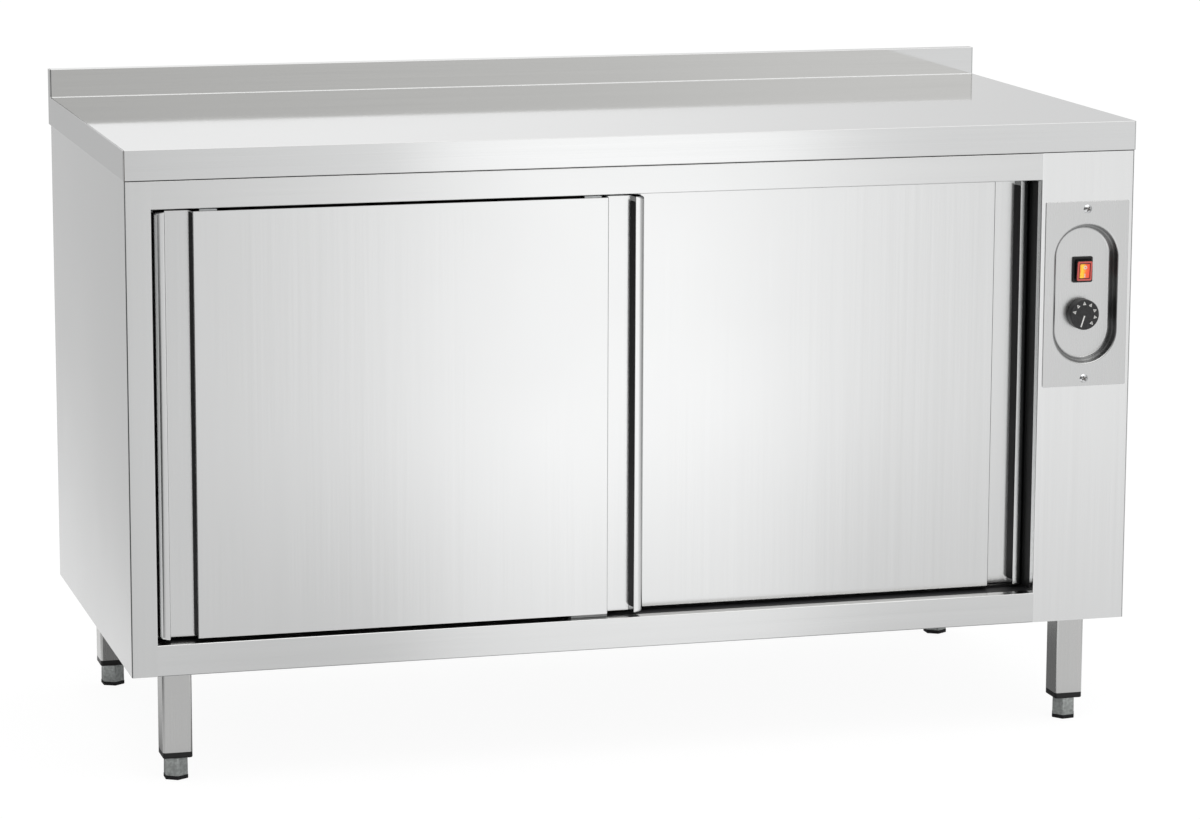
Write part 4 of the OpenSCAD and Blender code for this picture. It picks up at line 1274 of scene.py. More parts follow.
@dataclass
class ControlSet(Assembly):
    """The control plate, its screws, the switch and the knob.

    Attributes:
        plate: Thickness of the plate.
        corner: Radius of the plate's corners.
        soft: Rounding of the plate's front edge.
        dish: Width and height of the dish at the plate's front.
        dish_depth: Depth of the dish.
        dish_slope: How far its wall leans.
        lip: Radius from the plate into the dish.
        floor_fold: Radius from the wall to the dish's floor.
        screw_radius: Radius of a screw's head.
        screw_height: Height of its dome.
        recess: Depth of its cross.
        arm: Half the width of the cross's arms at their top, and their length.
        arm_slope: How far the arms' sides and their ends lean.
        arm_floor: Half the width of the dark piece on the arms' floor, which paints the recess's
            shade, and its length.
        shank: Length of the shank, and its share of the head's radius.
        screw_turns: Turn of the lower and the upper screw, in radians.
    """

    plate: float = 1.5
    corner: float = 2.0
    soft: float = 0.5
    dish: Pair = (93.0, 194.0)
    dish_depth: float = 16.0
    dish_slope: float = 6.5
    lip: float = 2.4
    floor_fold: float = 3.0
    screw_radius: float = 6.0
    screw_height: float = 2.95
    recess: float = 1.6
    arm: Pair = (1.0, 3.5)
    arm_slope: Pair = (0.3, 0.5)
    arm_floor: Pair = (0.75, 3.1)
    shank: Pair = (4.0, 0.5)
    screw_turns: Pair = (0.5, 1.1)

    def make(self) -> None:
        """Build the plate and all that it carries."""
        low, high = node_box("control_plate")
        self.middle = ((low[0] + high[0]) / 2, (low[2] + high[2]) / 2)
        self.front, self.floor = low[1], low[1] + self.dish_depth
        self.pressed_plate(high[0] - self.middle[0], high[2] - self.middle[1])
        self.screws()
        SwitchSet(self.palette, self.floor).make()
        KnobSet(self.palette).make()

    def pressed_plate(self, half_w: float, half_h: float) -> None:
        """Build the plate with its dish.

        The section, from the dish's floor to the plate's edge, is a path of pairs: how far a
        point lies outside the floor's edge, and its depth. Its back lies one plate behind it.

        Args:
            half_w: Half the plate's width.
            half_h: Half its height.
        """
        ring = DishRing((self.dish[1] - self.dish[0]) / 2, half_w, half_w, half_h, half_h)
        rim = self.dish[0] / 2
        foot = rim - self.dish_slope
        path = rounded_path([
            (foot - self.floor_fold - 1, self.floor, 0), (foot, self.floor, self.floor_fold),
            (rim, self.front, self.lip), (rim + self.lip + 1, self.front, 0)], 8)
        back = path + left_normals(path, closed=False) * self.plate
        turn = np.radians(np.linspace(90, 0, 6))
        edge = [(ring.rectangle(self.soft * (1 - math.cos(a)), self.corner),
                 self.front + self.soft * (1 - math.sin(a))) for a in turn]
        edge.append((ring.rectangle(0, self.corner), self.front + self.plate))
        levels = [(ring.stadium(r), d) for r, d in path] + edge
        levels += [(ring.stadium(r), d) for r, d in back[::-1]]
        draft = Draft()
        draft.rings(stacked(levels, Axis.Y, (self.middle[0], 0, self.middle[1])), Axis.Z)
        self.finished(draft, "pressed_control_plate", "plate_steel", "plate_steel", "cabinet",
                      "control_plate")

    def screws(self) -> None:
        """Build the two domed screws with their cross recesses, and a dark piece in each recess
        that paints its shade.

        A head is a grid of rings and angles. Its height is a sphere's cap less a cross: the
        product of two smooth steps, one over the distance from the nearer arm and one over
        the arm's length.
        """
        low, high = node_box("plate_screws")
        reach, height = self.screw_radius, self.screw_height
        sphere = (reach * reach + height * height) / (2 * height)
        radius = np.linspace(reach, 0.02, 26)[:, None]
        angle = np.linspace(0, 2 * math.pi, 96, endpoint=False)[None]
        first, second = radius * np.cos(angle), radius * np.sin(angle)
        dome = np.sqrt(sphere ** 2 - radius ** 2) - (sphere - height) + 0 * angle
        nearer = np.minimum(np.abs(first), np.abs(second))
        longer = np.maximum(np.abs(first), np.abs(second))
        arm = (np.clip((self.arm[0] - nearer) / self.arm_slope[0], 0, 1)
               * np.clip((self.arm[1] - longer) / self.arm_slope[1], 0, 1))
        head = dome - self.recess * arm
        draft, recess = Draft(), Draft()
        half, far = self.arm_floor
        quarter = np.array([(far, half), (half, half), (half, far)])
        cross = np.concatenate([quarter @ np.array([[c, n], [-n, c]]) for c, n in
                                ((1, 0), (0, 1), (-1, 0), (0, -1))])
        heads = (low[2] + self.screw_radius - 1, high[2] - self.screw_radius + 1)
        for z, turn in zip(heads, self.screw_turns):
            spin = np.array([[math.cos(turn), math.sin(turn)], [-math.sin(turn), math.cos(turn)]])
            flat = np.stack([first, second], axis=-1) @ spin
            rings = place(flat, self.front - head, Axis.Y)
            shank = stacked([(flat[0] * self.shank[1], self.front + self.shank[0]),
                             (flat[0], self.front)], Axis.Y)
            whole = np.concatenate([shank, rings]) + np.array([self.middle[0], 0, z])
            draft.rings(whole[::-1], Axis.Y)
            # A dark cross in each recess, standing up from its floor: painted shade.
            recess.prism(cross @ spin + np.array([self.middle[0], z]), Axis.Y,
                         self.front - height + 1.1, self.front - 0.6, 0.02, 0.02)
        self.finished(draft, "domed_screws", "screw_metal", "screw_steel", "cabinet",
                      "plate_screws", smooth=50)
        self.finished(recess, "screw_recess_shade", "rod_metal_and_recess_shade", "screw_steel", "cabinet")


@dataclass
class SwitchSet(Assembly):
    """The power switch: its bezel, and the rocker in the layers that its face shows.

    Attributes:
        floor: Place of the dish's floor along Y.
        bezel_inset: How much narrower and lower the bezel is than the housing.
        bezel_corner: Radius of the bezel's corners.
        bezel_edge: Rounding of its front edge.
        pocket: Width and height of the pocket.
        pocket_depth: Depth of the pocket.
        body_inset: How much smaller the body behind the bezel is.
        tabs: Length of the terminals, and the distance between them.
        rocker: Width and height of the rocker.
        proud: Distance from the axle to the rocker's face.
        deep: Distance from the axle back to the rear of its block.
        axle_place: Place of the axle behind the dish's floor, and over the plate's middle.
        tilt: Turn of the rocker about its axle, in degrees.
        rim: Width of the raised rim, on both sides together.
        lens: Width and height of the lens.
        mark_lift: Height of the marks on the lens.
        ring_radii: Inner and outer radius of the ring mark.
        ring_place: Place of the ring on the lens.
        bar: Width and height of the bar mark.
        bar_place: Place of the bar on the lens.
    """

    floor: float
    bezel_inset: Pair = (1.6, 1.5)
    bezel_corner: float = 2.6
    bezel_edge: float = 1.0
    pocket: Pair = (23.4, 30.0)
    pocket_depth: float = 2.2
    body_inset: float = 4.5
    tabs: Pair = (8.0, 8.0)
    rocker: Pair = (21.6, 27.2)
    proud: float = 11.5
    deep: float = 1.5
    axle_place: Pair = (0.5, 32.0)
    tilt: float = 6.0
    rim: float = 4.8
    lens: Pair = (14.2, 19.6)
    mark_lift: float = 0.15
    ring_radii: Pair = (1.4, 2.6)
    ring_place: Pair = (0.4, 5.2)
    bar: Pair = (1.3, 5.4)
    bar_place: Pair = (0.4, -6.4)

    def make(self) -> None:
        """Build the bezel and the rocker's five layers, from the back to the front."""
        low, high = node_box("control_plate")
        behind, over = self.axle_place
        self.axle = np.array([(low[0] + high[0]) / 2, self.floor + behind,
                              (low[2] + high[2]) / 2 + over])
        self.bezel()
        wide, tall = self.rocker
        face = -self.proud
        self.layer("rocker_block", "black_plastic",
                   (rounded_rectangle(wide - 0.2, tall - 0.2, 2.0), face + 1.0, self.deep, 0.4),
                   "switch_rocker")
        # The groove round the lens gets a darker red as painted shade.
        self.layer("rocker_groove", "groove_painted_shade",
                   (rounded_rectangle(wide - 4.0, tall - 4.0, 1.2), face + 0.9, face + 1.2, 0.05))
        self.rim_piece(face)
        self.layer("rocker_lens", "lit_lens",
                   (rounded_rectangle(*self.lens, 0.8), face + 0.35, face + 1.4, 0.3))
        self.marks(face)

    def bezel(self) -> None:
        """Build the switch's bezel and body, with the pocket that takes the rocker."""
        low, high = node_box("switch_housing")
        middle = ((low[0] + high[0]) / 2, (low[2] + high[2]) / 2)
        wide = high[0] - low[0] - self.bezel_inset[0]
        tall = high[2] - low[2] - self.bezel_inset[1]
        outer = rounded_rectangle(wide, tall, self.bezel_corner)
        inner = rounded_rectangle(*self.pocket, 1.4)
        body = rounded_rectangle(wide - self.body_inset, tall - self.body_inset, 1.5)
        front, back, edge = low[1], high[1] - self.tabs[0], self.bezel_edge
        levels = [(body, back), (body, self.floor), (outer, self.floor)]
        levels += [(outer * (1 - edge * (1 - math.sin(a)) / (tall / 2)),
                    front + edge * (1 - math.cos(a))) for a in np.radians((90, 60, 30, 0))]
        levels += [(inner * 1.015, front), (inner, front + 0.4),
                   (inner, front + self.pocket_depth)]
        draft = Draft()
        draft.rings(stacked(levels, Axis.Y, (middle[0], 0, middle[1])), Axis.Y, inward=True)
        for step in (-self.tabs[1], 0, self.tabs[1]):
            draft.prism(rounded_rectangle(6, 0.8, 0.2, (middle[0], middle[1] + step)),
                        Axis.Y, back, high[1])
        self.finished(draft, "switch_bezel", "black_plastic", "black_plastic", "cabinet",
                      "switch_housing")

    def tilted(self, draft: Draft, name: str, material: str, *nodes: str) -> None:
        """Turn a draft about X by the tilt, move it to the axle and finish it.

        Args:
            draft: Its surfaces, with the axle at the origin.
            name: Name of the piece.
            material: Name of its finish.
            nodes: The nodes that it stands for.
        """
        cosine, sine = math.cos(math.radians(self.tilt)), math.sin(math.radians(self.tilt))
        x, y, z = np.concatenate(draft.points).T
        turned = np.stack([x, y * cosine - z * sine, y * sine + z * cosine], axis=-1)
        draft.points = [turned + self.axle]
        self.finished(draft, name, material, "rocker_plastic", "power_rocker", *nodes)

    def layer(self, name: str, material: str, shape: tuple[np.ndarray, float, float, float],
              *nodes: str) -> None:
        """Build one layer of the rocker.

        Args:
            name: Name of the piece.
            material: Name of its finish.
            shape: Its outline, front, back and front rounding.
            nodes: The nodes that it stands for.
        """
        outline, front, back, edge = shape
        draft = Draft()
        draft.prism(outline, Axis.Y, front, back, edge, 0.2)
        self.tilted(draft, name, material, *nodes)

    def rim_piece(self, face: float) -> None:
        """Build the raised rim round the lens, whose front edge is eased on both sides.

        Args:
            face: Place of the rocker's face along Y, from the axle.
        """
        wide, tall = self.rocker
        outer = rounded_rectangle(wide, tall, 2.2)
        inner = rounded_rectangle(wide - self.rim, tall - self.rim, 1.0)
        draft = Draft()
        draft.rings(stacked([(inner, face + 1.3), (inner, face + 0.3), (inner * 1.03, face),
                             (outer * 0.965, face), (outer, face + 0.7), (outer, face + 1.3)],
                            Axis.Y), Axis.Y, capped=False)
        self.tilted(draft, "rocker_rim", "rocker_red")

    def marks(self, face: float) -> None:
        """Build the ring and the bar on the rocker's lens.

        Args:
            face: Place of the rocker's face along Y, from the axle.
        """
        front, back = face + 0.35 - self.mark_lift, face + 0.5
        circle = polar(np.linspace(0, 2 * math.pi, 40, endpoint=False))
        inner, outer = (circle * r + np.array(self.ring_place) for r in self.ring_radii)
        draft = Draft()
        draft.rings(stacked([(inner, back), (inner, front), (outer, front), (outer, back)],
                            Axis.Y), Axis.Y, capped=False)
        draft.prism(rounded_rectangle(*self.bar, 0.3, self.bar_place), Axis.Y, front, back,
                    0.05, 0.05)
        self.tilted(draft, "rocker_marks", "print_white")


@dataclass
class KnobSet(Assembly):
    """The thermostat's knob, with its ring of wedge marks and its pointer line.

    Attributes:
        radius: Radius of the knob.
        profile: Pairs of inset from that radius and depth behind the knob's face.
        skirt: Pairs of inset and height over the knob's rear face, in the same way.
        marks: Number of marks.
        first_mark: Angle of the first mark, in degrees.
        mark_step: Angle from one mark to the next.
        mark_reach: Distance from the knob's axis to a mark's tip and to its foot.
        mark_half: Half the width of a mark's foot.
        mark_hole: Share of a mark that its open middle takes.
        pointer_angle: Angle of the pointer line, in degrees.
        pointer_reach: Distance from the axis to the line's two ends.
        pointer_half: Half its width.
        raised: Height of the marks and the line.
    """

    radius: float = 21.2
    profile: tuple[Pair, ...] = ((1.6, 0), (0.9, 0.15), (0.35, 0.6), (0.15, 1.3))
    skirt: tuple[Pair, ...] = ((0, 1.0), (0.2, 0.3), (0.8, 0))
    marks: int = 7
    first_mark: float = 165.0
    mark_step: float = 35.8
    mark_reach: Pair = (18.6, 13.9)
    mark_half: float = 2.4
    mark_hole: float = 0.38
    pointer_angle: float = 252.0
    pointer_reach: Pair = (1.2, 17.6)
    pointer_half: float = 0.95
    raised: float = 0.05

    def make(self) -> None:
        """Build the knob and its marks."""
        low, high = node_box("knob")
        centre = ((low[0] + high[0]) / 2, 0, (low[2] + high[2]) / 2)
        front, back = low[1], high[1]
        profile = [(self.radius - inset, front + depth) for inset, depth in self.profile]
        profile += [(self.radius - inset, back - rise) for inset, rise in self.skirt]
        draft = Draft()
        draft.lathe(profile, centre, Axis.Y, 96)
        self.finished(draft, "round_knob", "knob_plastic", "knob_plastic", "dial", "knob")
        marks = Draft()
        turns = np.radians(self.first_mark - self.mark_step * np.arange(self.marks))
        for outward in polar(turns):
            across = np.array([-outward[1], outward[0]]) * self.mark_half
            tip, foot = (outward * reach for reach in self.mark_reach)
            wedge = np.stack([tip, foot + across, foot - across])
            inner = wedge.mean(0) + (wedge - wedge.mean(0)) * self.mark_hole
            levels = [(inner, front), (inner, front - self.raised),
                      (wedge, front - self.raised), (wedge, front)]
            marks.rings(stacked(levels, Axis.Y, centre), Axis.Y, capped=False)
        ahead = polar(np.radians(self.pointer_angle))
        side = np.array([-ahead[1], ahead[0]]) * self.pointer_half
        near, far = (ahead * reach for reach in self.pointer_reach)
        bar = np.stack([near - side, far - side, far + side, near + side])
        marks.prism(bar + np.array([centre[0], centre[2]]), Axis.Y, front - self.raised, front,
                    0.01, 0.0)
        self.finished(marks, "knob_marks", "print_white", "knob_plastic", "dial")


@dataclass
class LegSet(Assembly):
    """The four legs with their caps, hexagonal feet and soles.

    Attributes:
        wide: Width of a leg's tube.
        corner: Corner radius of the tube.
        wall: Wall of the tube.
        lid: Thickness of the tube's closed upper end.
        lead: Bevel of its open lower end.
        cap_rise: How far a cap laps over the tube's end.
        cap_edges: Rounding of the cap's lower and upper edge.
        cap_gap: Gap between the cap and the tube's end.
        plug_play: How much narrower than the tube's bore the cap's plug is.
        plug_corner: Radius of the plug's corners.
        foot_flats: Width of a foot across its flats.
        foot_corner: Radius of its corners.
        foot_gap: Gap between the foot and the cap.
        foot_rise: Pairs of share of the foot's outline and height over its lower face.
        foot_fall: Pairs of share and depth under its upper face, in the same way.
        stud: Radius of the foot's stud.
        sole_flats: Width of a sole across its flats.
        sole_corner: Radius of its corners.
        sole_edges: Rounding of its lower and upper edge.
        turns: Angle of each foot's first corner, in degrees.
    """

    wide: float = 40.0
    corner: float = 4.0
    wall: float = 1.5
    lid: float = 3.0
    lead: float = 0.3
    cap_rise: float = 2.0
    cap_edges: Pair = (1.3, 0.2)
    cap_gap: float = 0.05
    plug_play: float = 0.4
    plug_corner: float = 2.3
    foot_flats: float = 30.2
    foot_corner: float = 2.2
    foot_gap: float = 0.3
    foot_rise: tuple[Pair, ...] = ((0.985, 0), (1.0, 0.5))
    foot_fall: tuple[Pair, ...] = ((0.985, 1.4), (0.95, 0.4), (0.90, 0))
    stud: float = 6.0
    sole_flats: float = 30.8
    sole_corner: float = 1.6
    sole_edges: Pair = (1.2, 0.4)
    turns: tuple[float, ...] = (29.0, 8.0, 33.0, 30.0)

    def make(self) -> None:
        """Build the tubes and caps as two groups, and each foot by itself."""
        names = ("front_left", "front_right", "rear_left", "rear_right")
        boxes = [node_box(f"foot_{name}") for name in names]
        spots = [((low[0] + high[0]) / 2, (low[1] + high[1]) / 2) for low, high in boxes]
        self.bore = self.wide - 2 * self.wall
        self.tubes(spots)
        self.caps(spots)
        for name, spot, turn in zip(names, spots, self.turns):
            self.foot(name, spot, turn)

    def tubes(self, spots: list[Pair]) -> None:
        """Build the four square tubes.

        Args:
            spots: Places of the four legs' axes.
        """
        low, high = node_box("legs")
        outer = rounded_rectangle(self.wide, self.wide, self.corner, steps=8)
        inner = rounded_rectangle(self.bore, self.bore, self.corner - self.wall, steps=8)
        end = low[2] + self.cap_rise
        levels = [(inner, high[2] - self.lid), (inner, end + self.lead), (outer, end),
                  (outer, high[2])]
        draft = Draft()
        for spot in spots:
            draft.rings(stacked(levels, Axis.Z, (*spot, 0)), Axis.Z)
        self.finished(draft, "square_legs", "leg_steel", "leg_steel", "cabinet", "legs")

    def caps(self, spots: list[Pair]) -> None:
        """Build the four black caps, rounded at their lower edge.

        Args:
            spots: Places of the four legs' axes.
        """
        low, high = node_box("leg_caps")
        tube = node_box("legs")[0][2] + self.cap_rise
        plug = self.bore - self.plug_play
        draft = Draft()
        for spot in spots:
            draft.prism(rounded_rectangle(self.wide, self.wide, self.corner, spot, 6), Axis.Z,
                        low[2], tube - self.cap_gap, *self.cap_edges, 4)
            draft.prism(rounded_rectangle(plug, plug, self.plug_corner, spot, 4), Axis.Z,
                        tube, high[2])
        self.finished(draft, "leg_end_caps", "black_plastic", "black_plastic", "cabinet",
                      "leg_caps")

    def foot(self, name: str, spot: Pair, turn: float) -> None:
        """Build one foot with its stud, and its sole.

        Args:
            name: Corner of the cabinet.
            spot: Place of the foot's axis.
            turn: Angle of its first corner, in degrees.
        """
        (_, _, start), (_, _, end) = node_box(f"foot_{name}")
        top = node_box("leg_caps")[0][2] - self.foot_gap
        body = f"leveller_{name}"
        outline = hexagon(self.foot_flats, turn, self.foot_corner)
        levels = [(outline * share, start + rise) for share, rise in self.foot_rise]
        levels += [(outline * share, top - fall) for share, fall in self.foot_fall]
        draft = Draft()
        draft.rings(stacked(levels, Axis.Z, (*spot, 0)), Axis.Z)
        draft.lathe([(self.stud, top - 1), (self.stud, end - 1), (self.stud - 1, end)],
                    (*spot, 0), Axis.Z, 32)
        self.finished(draft, f"hexagon_foot_{name}", "foot_metal", "foot_steel", body,
                      f"foot_{name}")
        (_, _, start), (_, _, end) = node_box(f"sole_{name}")
        outline = hexagon(self.sole_flats, turn, self.sole_corner) + np.array(spot)
        pad = Draft()
        pad.prism(outline, Axis.Z, start, end, *self.sole_edges)
        self.finished(pad, f"rubber_sole_{name}", "sole_rubber", "sole_rubber", body,
                      f"sole_{name}")


@dataclass
class InsideSet(Assembly):
    """The shelf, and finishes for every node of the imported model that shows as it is.

    Attributes:
        sheet: Thickness of the shelf's sheet.
        fold: Outer radius of its folds.
    """

    sheet: float = 1.2
    fold: float = 1.5

    def make(self) -> None:
        """Build the shelf and dress the nodes."""
        self.shelf()
        self.dress()

    def shelf(self) -> None:
        """Build the shelf with its two folded edges."""
        (left, front, bottom), (right, rear, top) = node_box("shelf")
        draft = Draft()
        draft.bent_sheet([(rear, bottom, 0), (rear, top, self.fold), (front, top, self.fold),
                          (front, bottom, 0)], self.sheet, Axis.X, left, right)
        self.finished(draft, "shelf_sheet", "inner_steel", "inner_steel", "shelf", "shelf")

    def dress(self) -> None:
        """Give each remaining node its finish, by its slot in the record."""
        finishes = {
            "stainless_satin": "body_steel", "zinc_steel": "zinc_plate",
            "foot_steel": "foot_metal", "screw_steel": "screw_metal",
            "rocker_plastic": "rocker_red", "chipboard": "chipboard_seam_shade",
            "motor_metal": "motor_paint", "rod_steel": "rod_metal_and_recess_shade",
            "terminal_plastic": "ivory_plastic"}
        for part in frame["record"]["subparts"]:
            node = frame["nodes"][part["node"]]
            slot_name = part["material_slot"]
            material = self.palette[finishes.get(slot_name, slot_name)]
            for slot in node.material_slots:
                slot.material = material
            if not node.material_slots:
                node.data.materials.append(material)


@dataclass
class Studio:
    """The floor, the light and the camera.

    Places on the floor are in metres, directions in degrees to the right of straight ahead.

    Attributes:
        eye: The camera's place, in millimetres.
        yaw: Its turn to the right of straight ahead, in degrees.
        pitch: Its tilt downwards, in degrees.
        roll: Its roll, in degrees.
        lens: Its focal length, in millimetres.
        sensor: Width of its sensor, in millimetres.
        reach: Distance from the middle to the floor's edges, in millimetres.
        matt: Grey of the floor as the cabinet's dull materials meet it.
        faint: Grey of the floor as the camera sees it, which carries the shadow.
        glow: Light that the floor adds there by itself.
        image: The camera's mirror image behind the cabinet's front.
        fan: Brightness of the floor in front, by the direction from that image.
        close: Share of it beside the cabinet, by that direction.
        close_reach: Places along Y between which that share comes in.
        behind: Brightness of the floor behind, at the two ends of a slanted step.
        step: Places of those ends along X, and the step's lean.
        front_to_back: Places along Y between which the front's floor turns into the rear's.
        shade_x: Distances from the middle along X between which the cabinet's shade ends.
        shade_y: Such distances along Y.
        shade: Share of light under the cabinet.
        left_x: Places along X between which the dim floor at the left ends.
        left_start: Places along Y between which it begins.
        left_end: Places along Y between which it ends.
        left: Share of light there.
        around: Brightness of the surroundings by direction.
        ceiling: Brightness of the ceiling.
        ceiling_start: Heights of view between which the surroundings turn into the ceiling.
        warmth: Share of the warm colour by direction.
        warm: Colour of the light from straight ahead.
        lamp_size: Length and width of the lamp over the front, in metres.
        lamp_power: Its power, in watts.
        lamp_place: Its place, in metres.
        lamp_tilt: Its tilt towards the cabinet, in degrees.
    """

    eye: tuple[float, float, float] = (-1562.8, -5717.35, 1516.4)
    yaw: float = 15.56
    pitch: float = 10.47
    roll: float = 0.20
    lens: float = 127.4
    sensor: float = 36.0
    reach: float = 30000.0
    matt: float = 0.86
    faint: float = 0.12
    glow: float = 0.93
    image: Pair = (-1.56, 5.06)
    fan: tuple[Pair, ...] = (
        (-20, 0.26), (0, 0.42), (7.5, 0.6), (9.2, 0.72), (12.5, 0.88), (15.5, 1.22),
        (17.5, 1.18), (20.5, 0.84), (24, 0.84), (28, 0.62), (34, 0.5), (50, 0.5))
    close: tuple[Pair, ...] = ((9.0, 0.98), (12.0, 0.78), (16.5, 0.76), (21.0, 0.86))
    close_reach: Pair = (-2.6, -0.9)
    behind: Pair = (0.53, 0.84)
    step: tuple[float, float, float] = (-0.858, -0.775, 0.1)
    front_to_back: Pair = (-0.4, 0.4)
    shade_x: Pair = (0.66, 0.80)
    shade_y: Pair = (0.33, 0.42)
    shade: float = 0.22
    left_x: Pair = (-1.3, -0.95)
    left_start: Pair = (-5.5, -4.0)
    left_end: Pair = (0.1, 0.4)
    left: float = 0.2
    around: tuple[Pair, ...] = (
        (-180, 0.88), (-165, 0.58), (-150, 0.5), (-115, 0.2), (-50, 0.12), (-20, 0.36),
        (0, 0.5), (9.5, 0.62), (16, 0.72), (21, 0.80), (30, 0.8), (48, 0.52), (70, 0.42),
        (90, 0.5), (115, 0.6), (158, 0.72), (171, 0.93), (180, 0.88))
    ceiling: float = 0.85
    ceiling_start: Pair = (0.25, 0.8)
    warmth: tuple[Pair, ...] = ((-20, 0), (5, 1), (25, 1), (45, 0))
    warm: Colour = (1.0, 0.988, 0.968)
    lamp_size: Pair = (3.0, 2.0)
    lamp_power: float = 16.0
    lamp_place: tuple[float, float, float] = (0.4, -1.2, 3.2)
    lamp_tilt: float = 20.0

    def make(self) -> None:
        """Set up the whole studio."""
        self.camera()
        self.floor()
        self.world()
        self.lamp()
        bpy.context.scene.view_settings.view_transform = "Standard"

    def camera(self) -> None:
        """Place the camera: right, up and back vectors from yaw, pitch and roll."""
        yaw, pitch, roll = (math.radians(a) for a in (self.yaw, self.pitch, self.roll))
        right = Vector((math.cos(yaw), -math.sin(yaw), 0))
        ahead = Vector((math.sin(yaw) * math.cos(pitch), math.cos(yaw) * math.cos(pitch),
                        -math.sin(pitch)))
        up = right.cross(ahead)
        side = right * math.cos(roll) + up * math.sin(roll)
        top = up * math.cos(roll) - right * math.sin(roll)
        turn = Matrix((side, top, -ahead)).transposed().to_4x4()
        data = bpy.data.cameras.new("photo_camera")
        data.sensor_fit = "HORIZONTAL"
        data.sensor_width = self.sensor
        data.lens = self.lens
        data.clip_end = 100.0
        camera = bpy.data.objects.new("photo_camera", data)
        camera.matrix_world = Matrix.Translation(Vector(self.eye) * MM) @ turn
        bpy.context.scene.collection.objects.link(camera)
        bpy.context.scene.camera = camera

    def floor(self) -> None:
        """Lay the floor: pale to the camera, and a pool of light that the steel mirrors."""
        draft = Draft()
        corners = np.array([(-1, -1, 0), (1, -1, 0), (1, 1, 0), (-1, 1, 0)]) * self.reach
        draft.add(corners, [[0, 1, 2, 3]])
        material = bpy.data.materials.new("studio_floor")
        material.use_nodes = True
        sketch = Sketch(material.node_tree)
        path = sketch.add("ShaderNodeLightPath")
        matt, faint = (sketch.add("ShaderNodeBsdfDiffuse", {"Color": (grey, grey, grey, 1)})
                       for grey in (self.matt, self.faint))
        white = sketch.add("ShaderNodeEmission", {"Color": (1, 1, 1, 1),
                                                  "Strength": self.glow})
        seen = sketch.add("ShaderNodeAddShader", {0: faint.outputs[0], 1: white.outputs[0]})
        pool = sketch.add("ShaderNodeEmission", {"Color": (1, 1, 1, 1),
                                                 "Strength": self.mirrored(sketch)})
        glossy = sketch.add("ShaderNodeMixShader", {0: path.outputs["Is Glossy Ray"],
                                                    1: matt.outputs[0], 2: pool.outputs[0]})
        result = sketch.add("ShaderNodeMixShader", {0: path.outputs["Is Camera Ray"],
                                                    1: glossy.outputs[0], 2: seen.outputs[0]})
        sketch.add("ShaderNodeOutputMaterial", {"Surface": result.outputs[0]})
        floor = draft.build("studio_floor", material, weighted=False)

    def mirrored(self, sketch: Sketch) -> bpy.types.NodeSocket:
        """Give the brightness that the steel mirrors from each place of the floor.

        In front it is a fan of rays from the camera's mirror image. Behind it is a step.
        Under the cabinet and along its left the floor is dim.

        Args:
            sketch: Where the nodes go.

        Returns:
            The brightness.
        """
        x, y, _ = sketch.position()
        direction = sketch.compass(sketch.maths("ADD", x, -self.image[0]),
                                   sketch.maths("SUBTRACT", self.image[1], y))
        near = sketch.mix(sketch.scaled(y, self.close_reach, (0, 1)), 1.0,
                          sketch.curve(direction, self.close))
        ahead = sketch.maths("MULTIPLY", sketch.curve(direction, self.fan), near)
        start, end, lean = self.step
        slant = sketch.maths("ADD", x, sketch.maths("MULTIPLY", y, lean))
        behind = sketch.scaled(slant, (start, end), self.behind, smooth=True)
        side = sketch.scaled(y, self.front_to_back, (0, 1), smooth=True)
        bright = sketch.mix(side, ahead, behind)
        under = sketch.maths(
            "MULTIPLY",
            sketch.scaled(sketch.maths("ABSOLUTE", x), self.shade_x, (1, 0), smooth=True),
            sketch.scaled(sketch.maths("ABSOLUTE", y), self.shade_y, (1, 0), smooth=True))
        bright = sketch.maths("MULTIPLY", bright, sketch.scaled(under, (0, 1), (1, self.shade)))
        band = sketch.maths("MULTIPLY",
                            sketch.scaled(y, self.left_start, (0, 1), smooth=True),
                            sketch.scaled(y, self.left_end, (1, 0), smooth=True))
        left = sketch.maths("MULTIPLY",
                            sketch.scaled(x, self.left_x, (1, 0), smooth=True), band)
        return sketch.maths("MULTIPLY", bright, sketch.scaled(left, (0, 1), (1, self.left)))

    def world(self) -> None:
        """Surround the cabinet with soft light that is white to the camera.

        The brightness depends on the compass direction, from dark at the front left through a
        broad light at the front right, and turns into an even ceiling higher up.
        """
        world = bpy.data.worlds.new("studio_world")
        world.use_nodes = True
        bpy.context.scene.world = world
        sketch = Sketch(world.node_tree)
        where = sketch.add("ShaderNodeTexCoord").outputs["Generated"]
        x, y, z = sketch.add("ShaderNodeSeparateXYZ", {0: where}).outputs
        direction = sketch.compass(x, sketch.maths("MULTIPLY", y, -1.0))
        height = sketch.scaled(z, self.ceiling_start, (0, 1), smooth=True)
        soft = sketch.mix(height, sketch.curve(direction, self.around), self.ceiling)
        warmth = sketch.curve(direction, self.warmth)
        light = sketch.add("ShaderNodeBackground",
                           {0: sketch.tint(warmth, (1, 1, 1), self.warm), 1: soft})
        white = sketch.add("ShaderNodeBackground", {0: (1, 1, 1, 1), 1: 1.0})
        path = sketch.add("ShaderNodeLightPath")
        both = sketch.add("ShaderNodeMixShader", {0: path.outputs["Is Camera Ray"],
                                                  1: light.outputs[0], 2: white.outputs[0]})
        sketch.add("ShaderNodeOutputWorld", {0: both.outputs[0]})

    def lamp(self) -> None:
        """Hang one broad lamp over the front, for soft shadows."""
        data = bpy.data.lights.new("overhead_softbox", "AREA")
        data.shape = "RECTANGLE"
        data.size, data.size_y = self.lamp_size
        data.energy = self.lamp_power
        lamp = bpy.data.objects.new("overhead_softbox", data)
        lamp.location = self.lamp_place
        lamp.rotation_euler = (math.radians(self.lamp_tilt), 0, 0)
        bpy.context.scene.collection.objects.link(lamp)


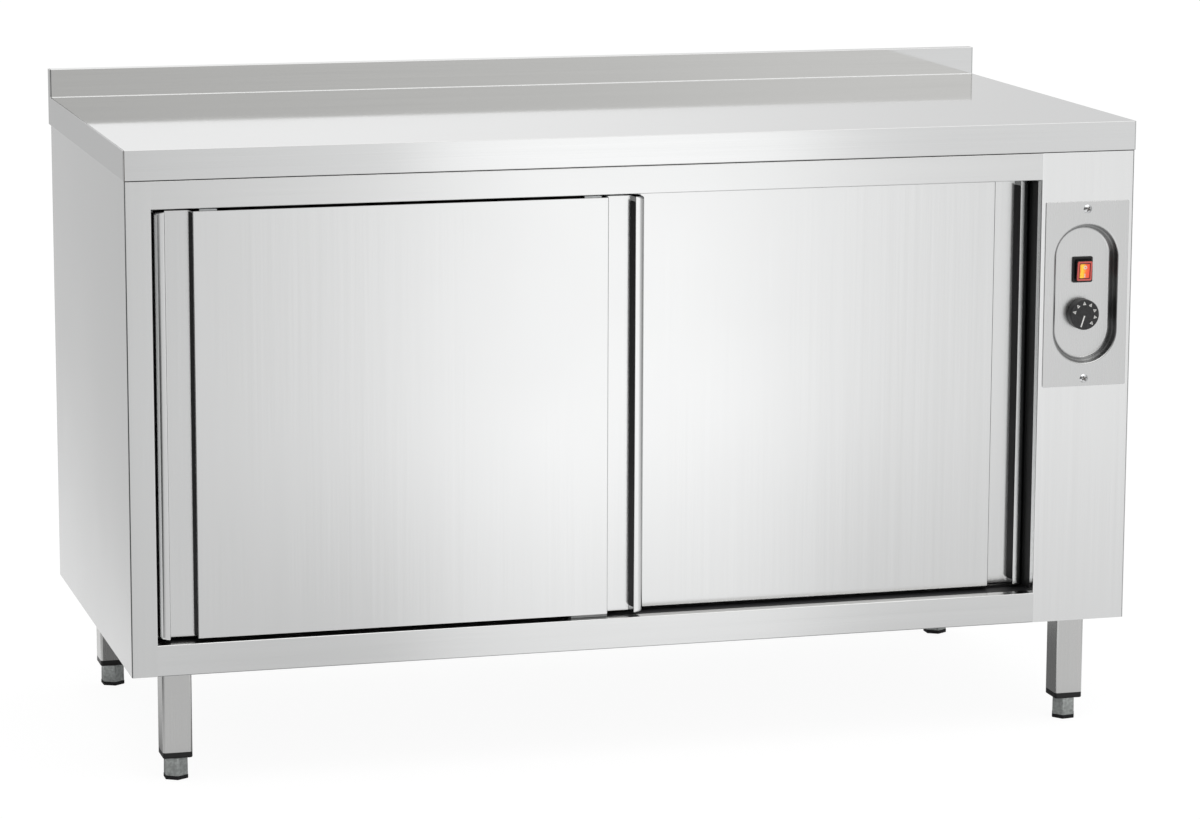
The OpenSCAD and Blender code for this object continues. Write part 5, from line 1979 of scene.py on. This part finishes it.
def main() -> None:
    logging.basicConfig(level=logging.INFO, format="%(name)s: %(message)s")
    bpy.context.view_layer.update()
    Studio().make()
    palette = Palette()
    for assembly in (InsideSet, WorktopSet, BodySet, DoorSet, ControlSet, LegSet):
        assembly(palette).make()


if __name__ == "__main__":
    main()
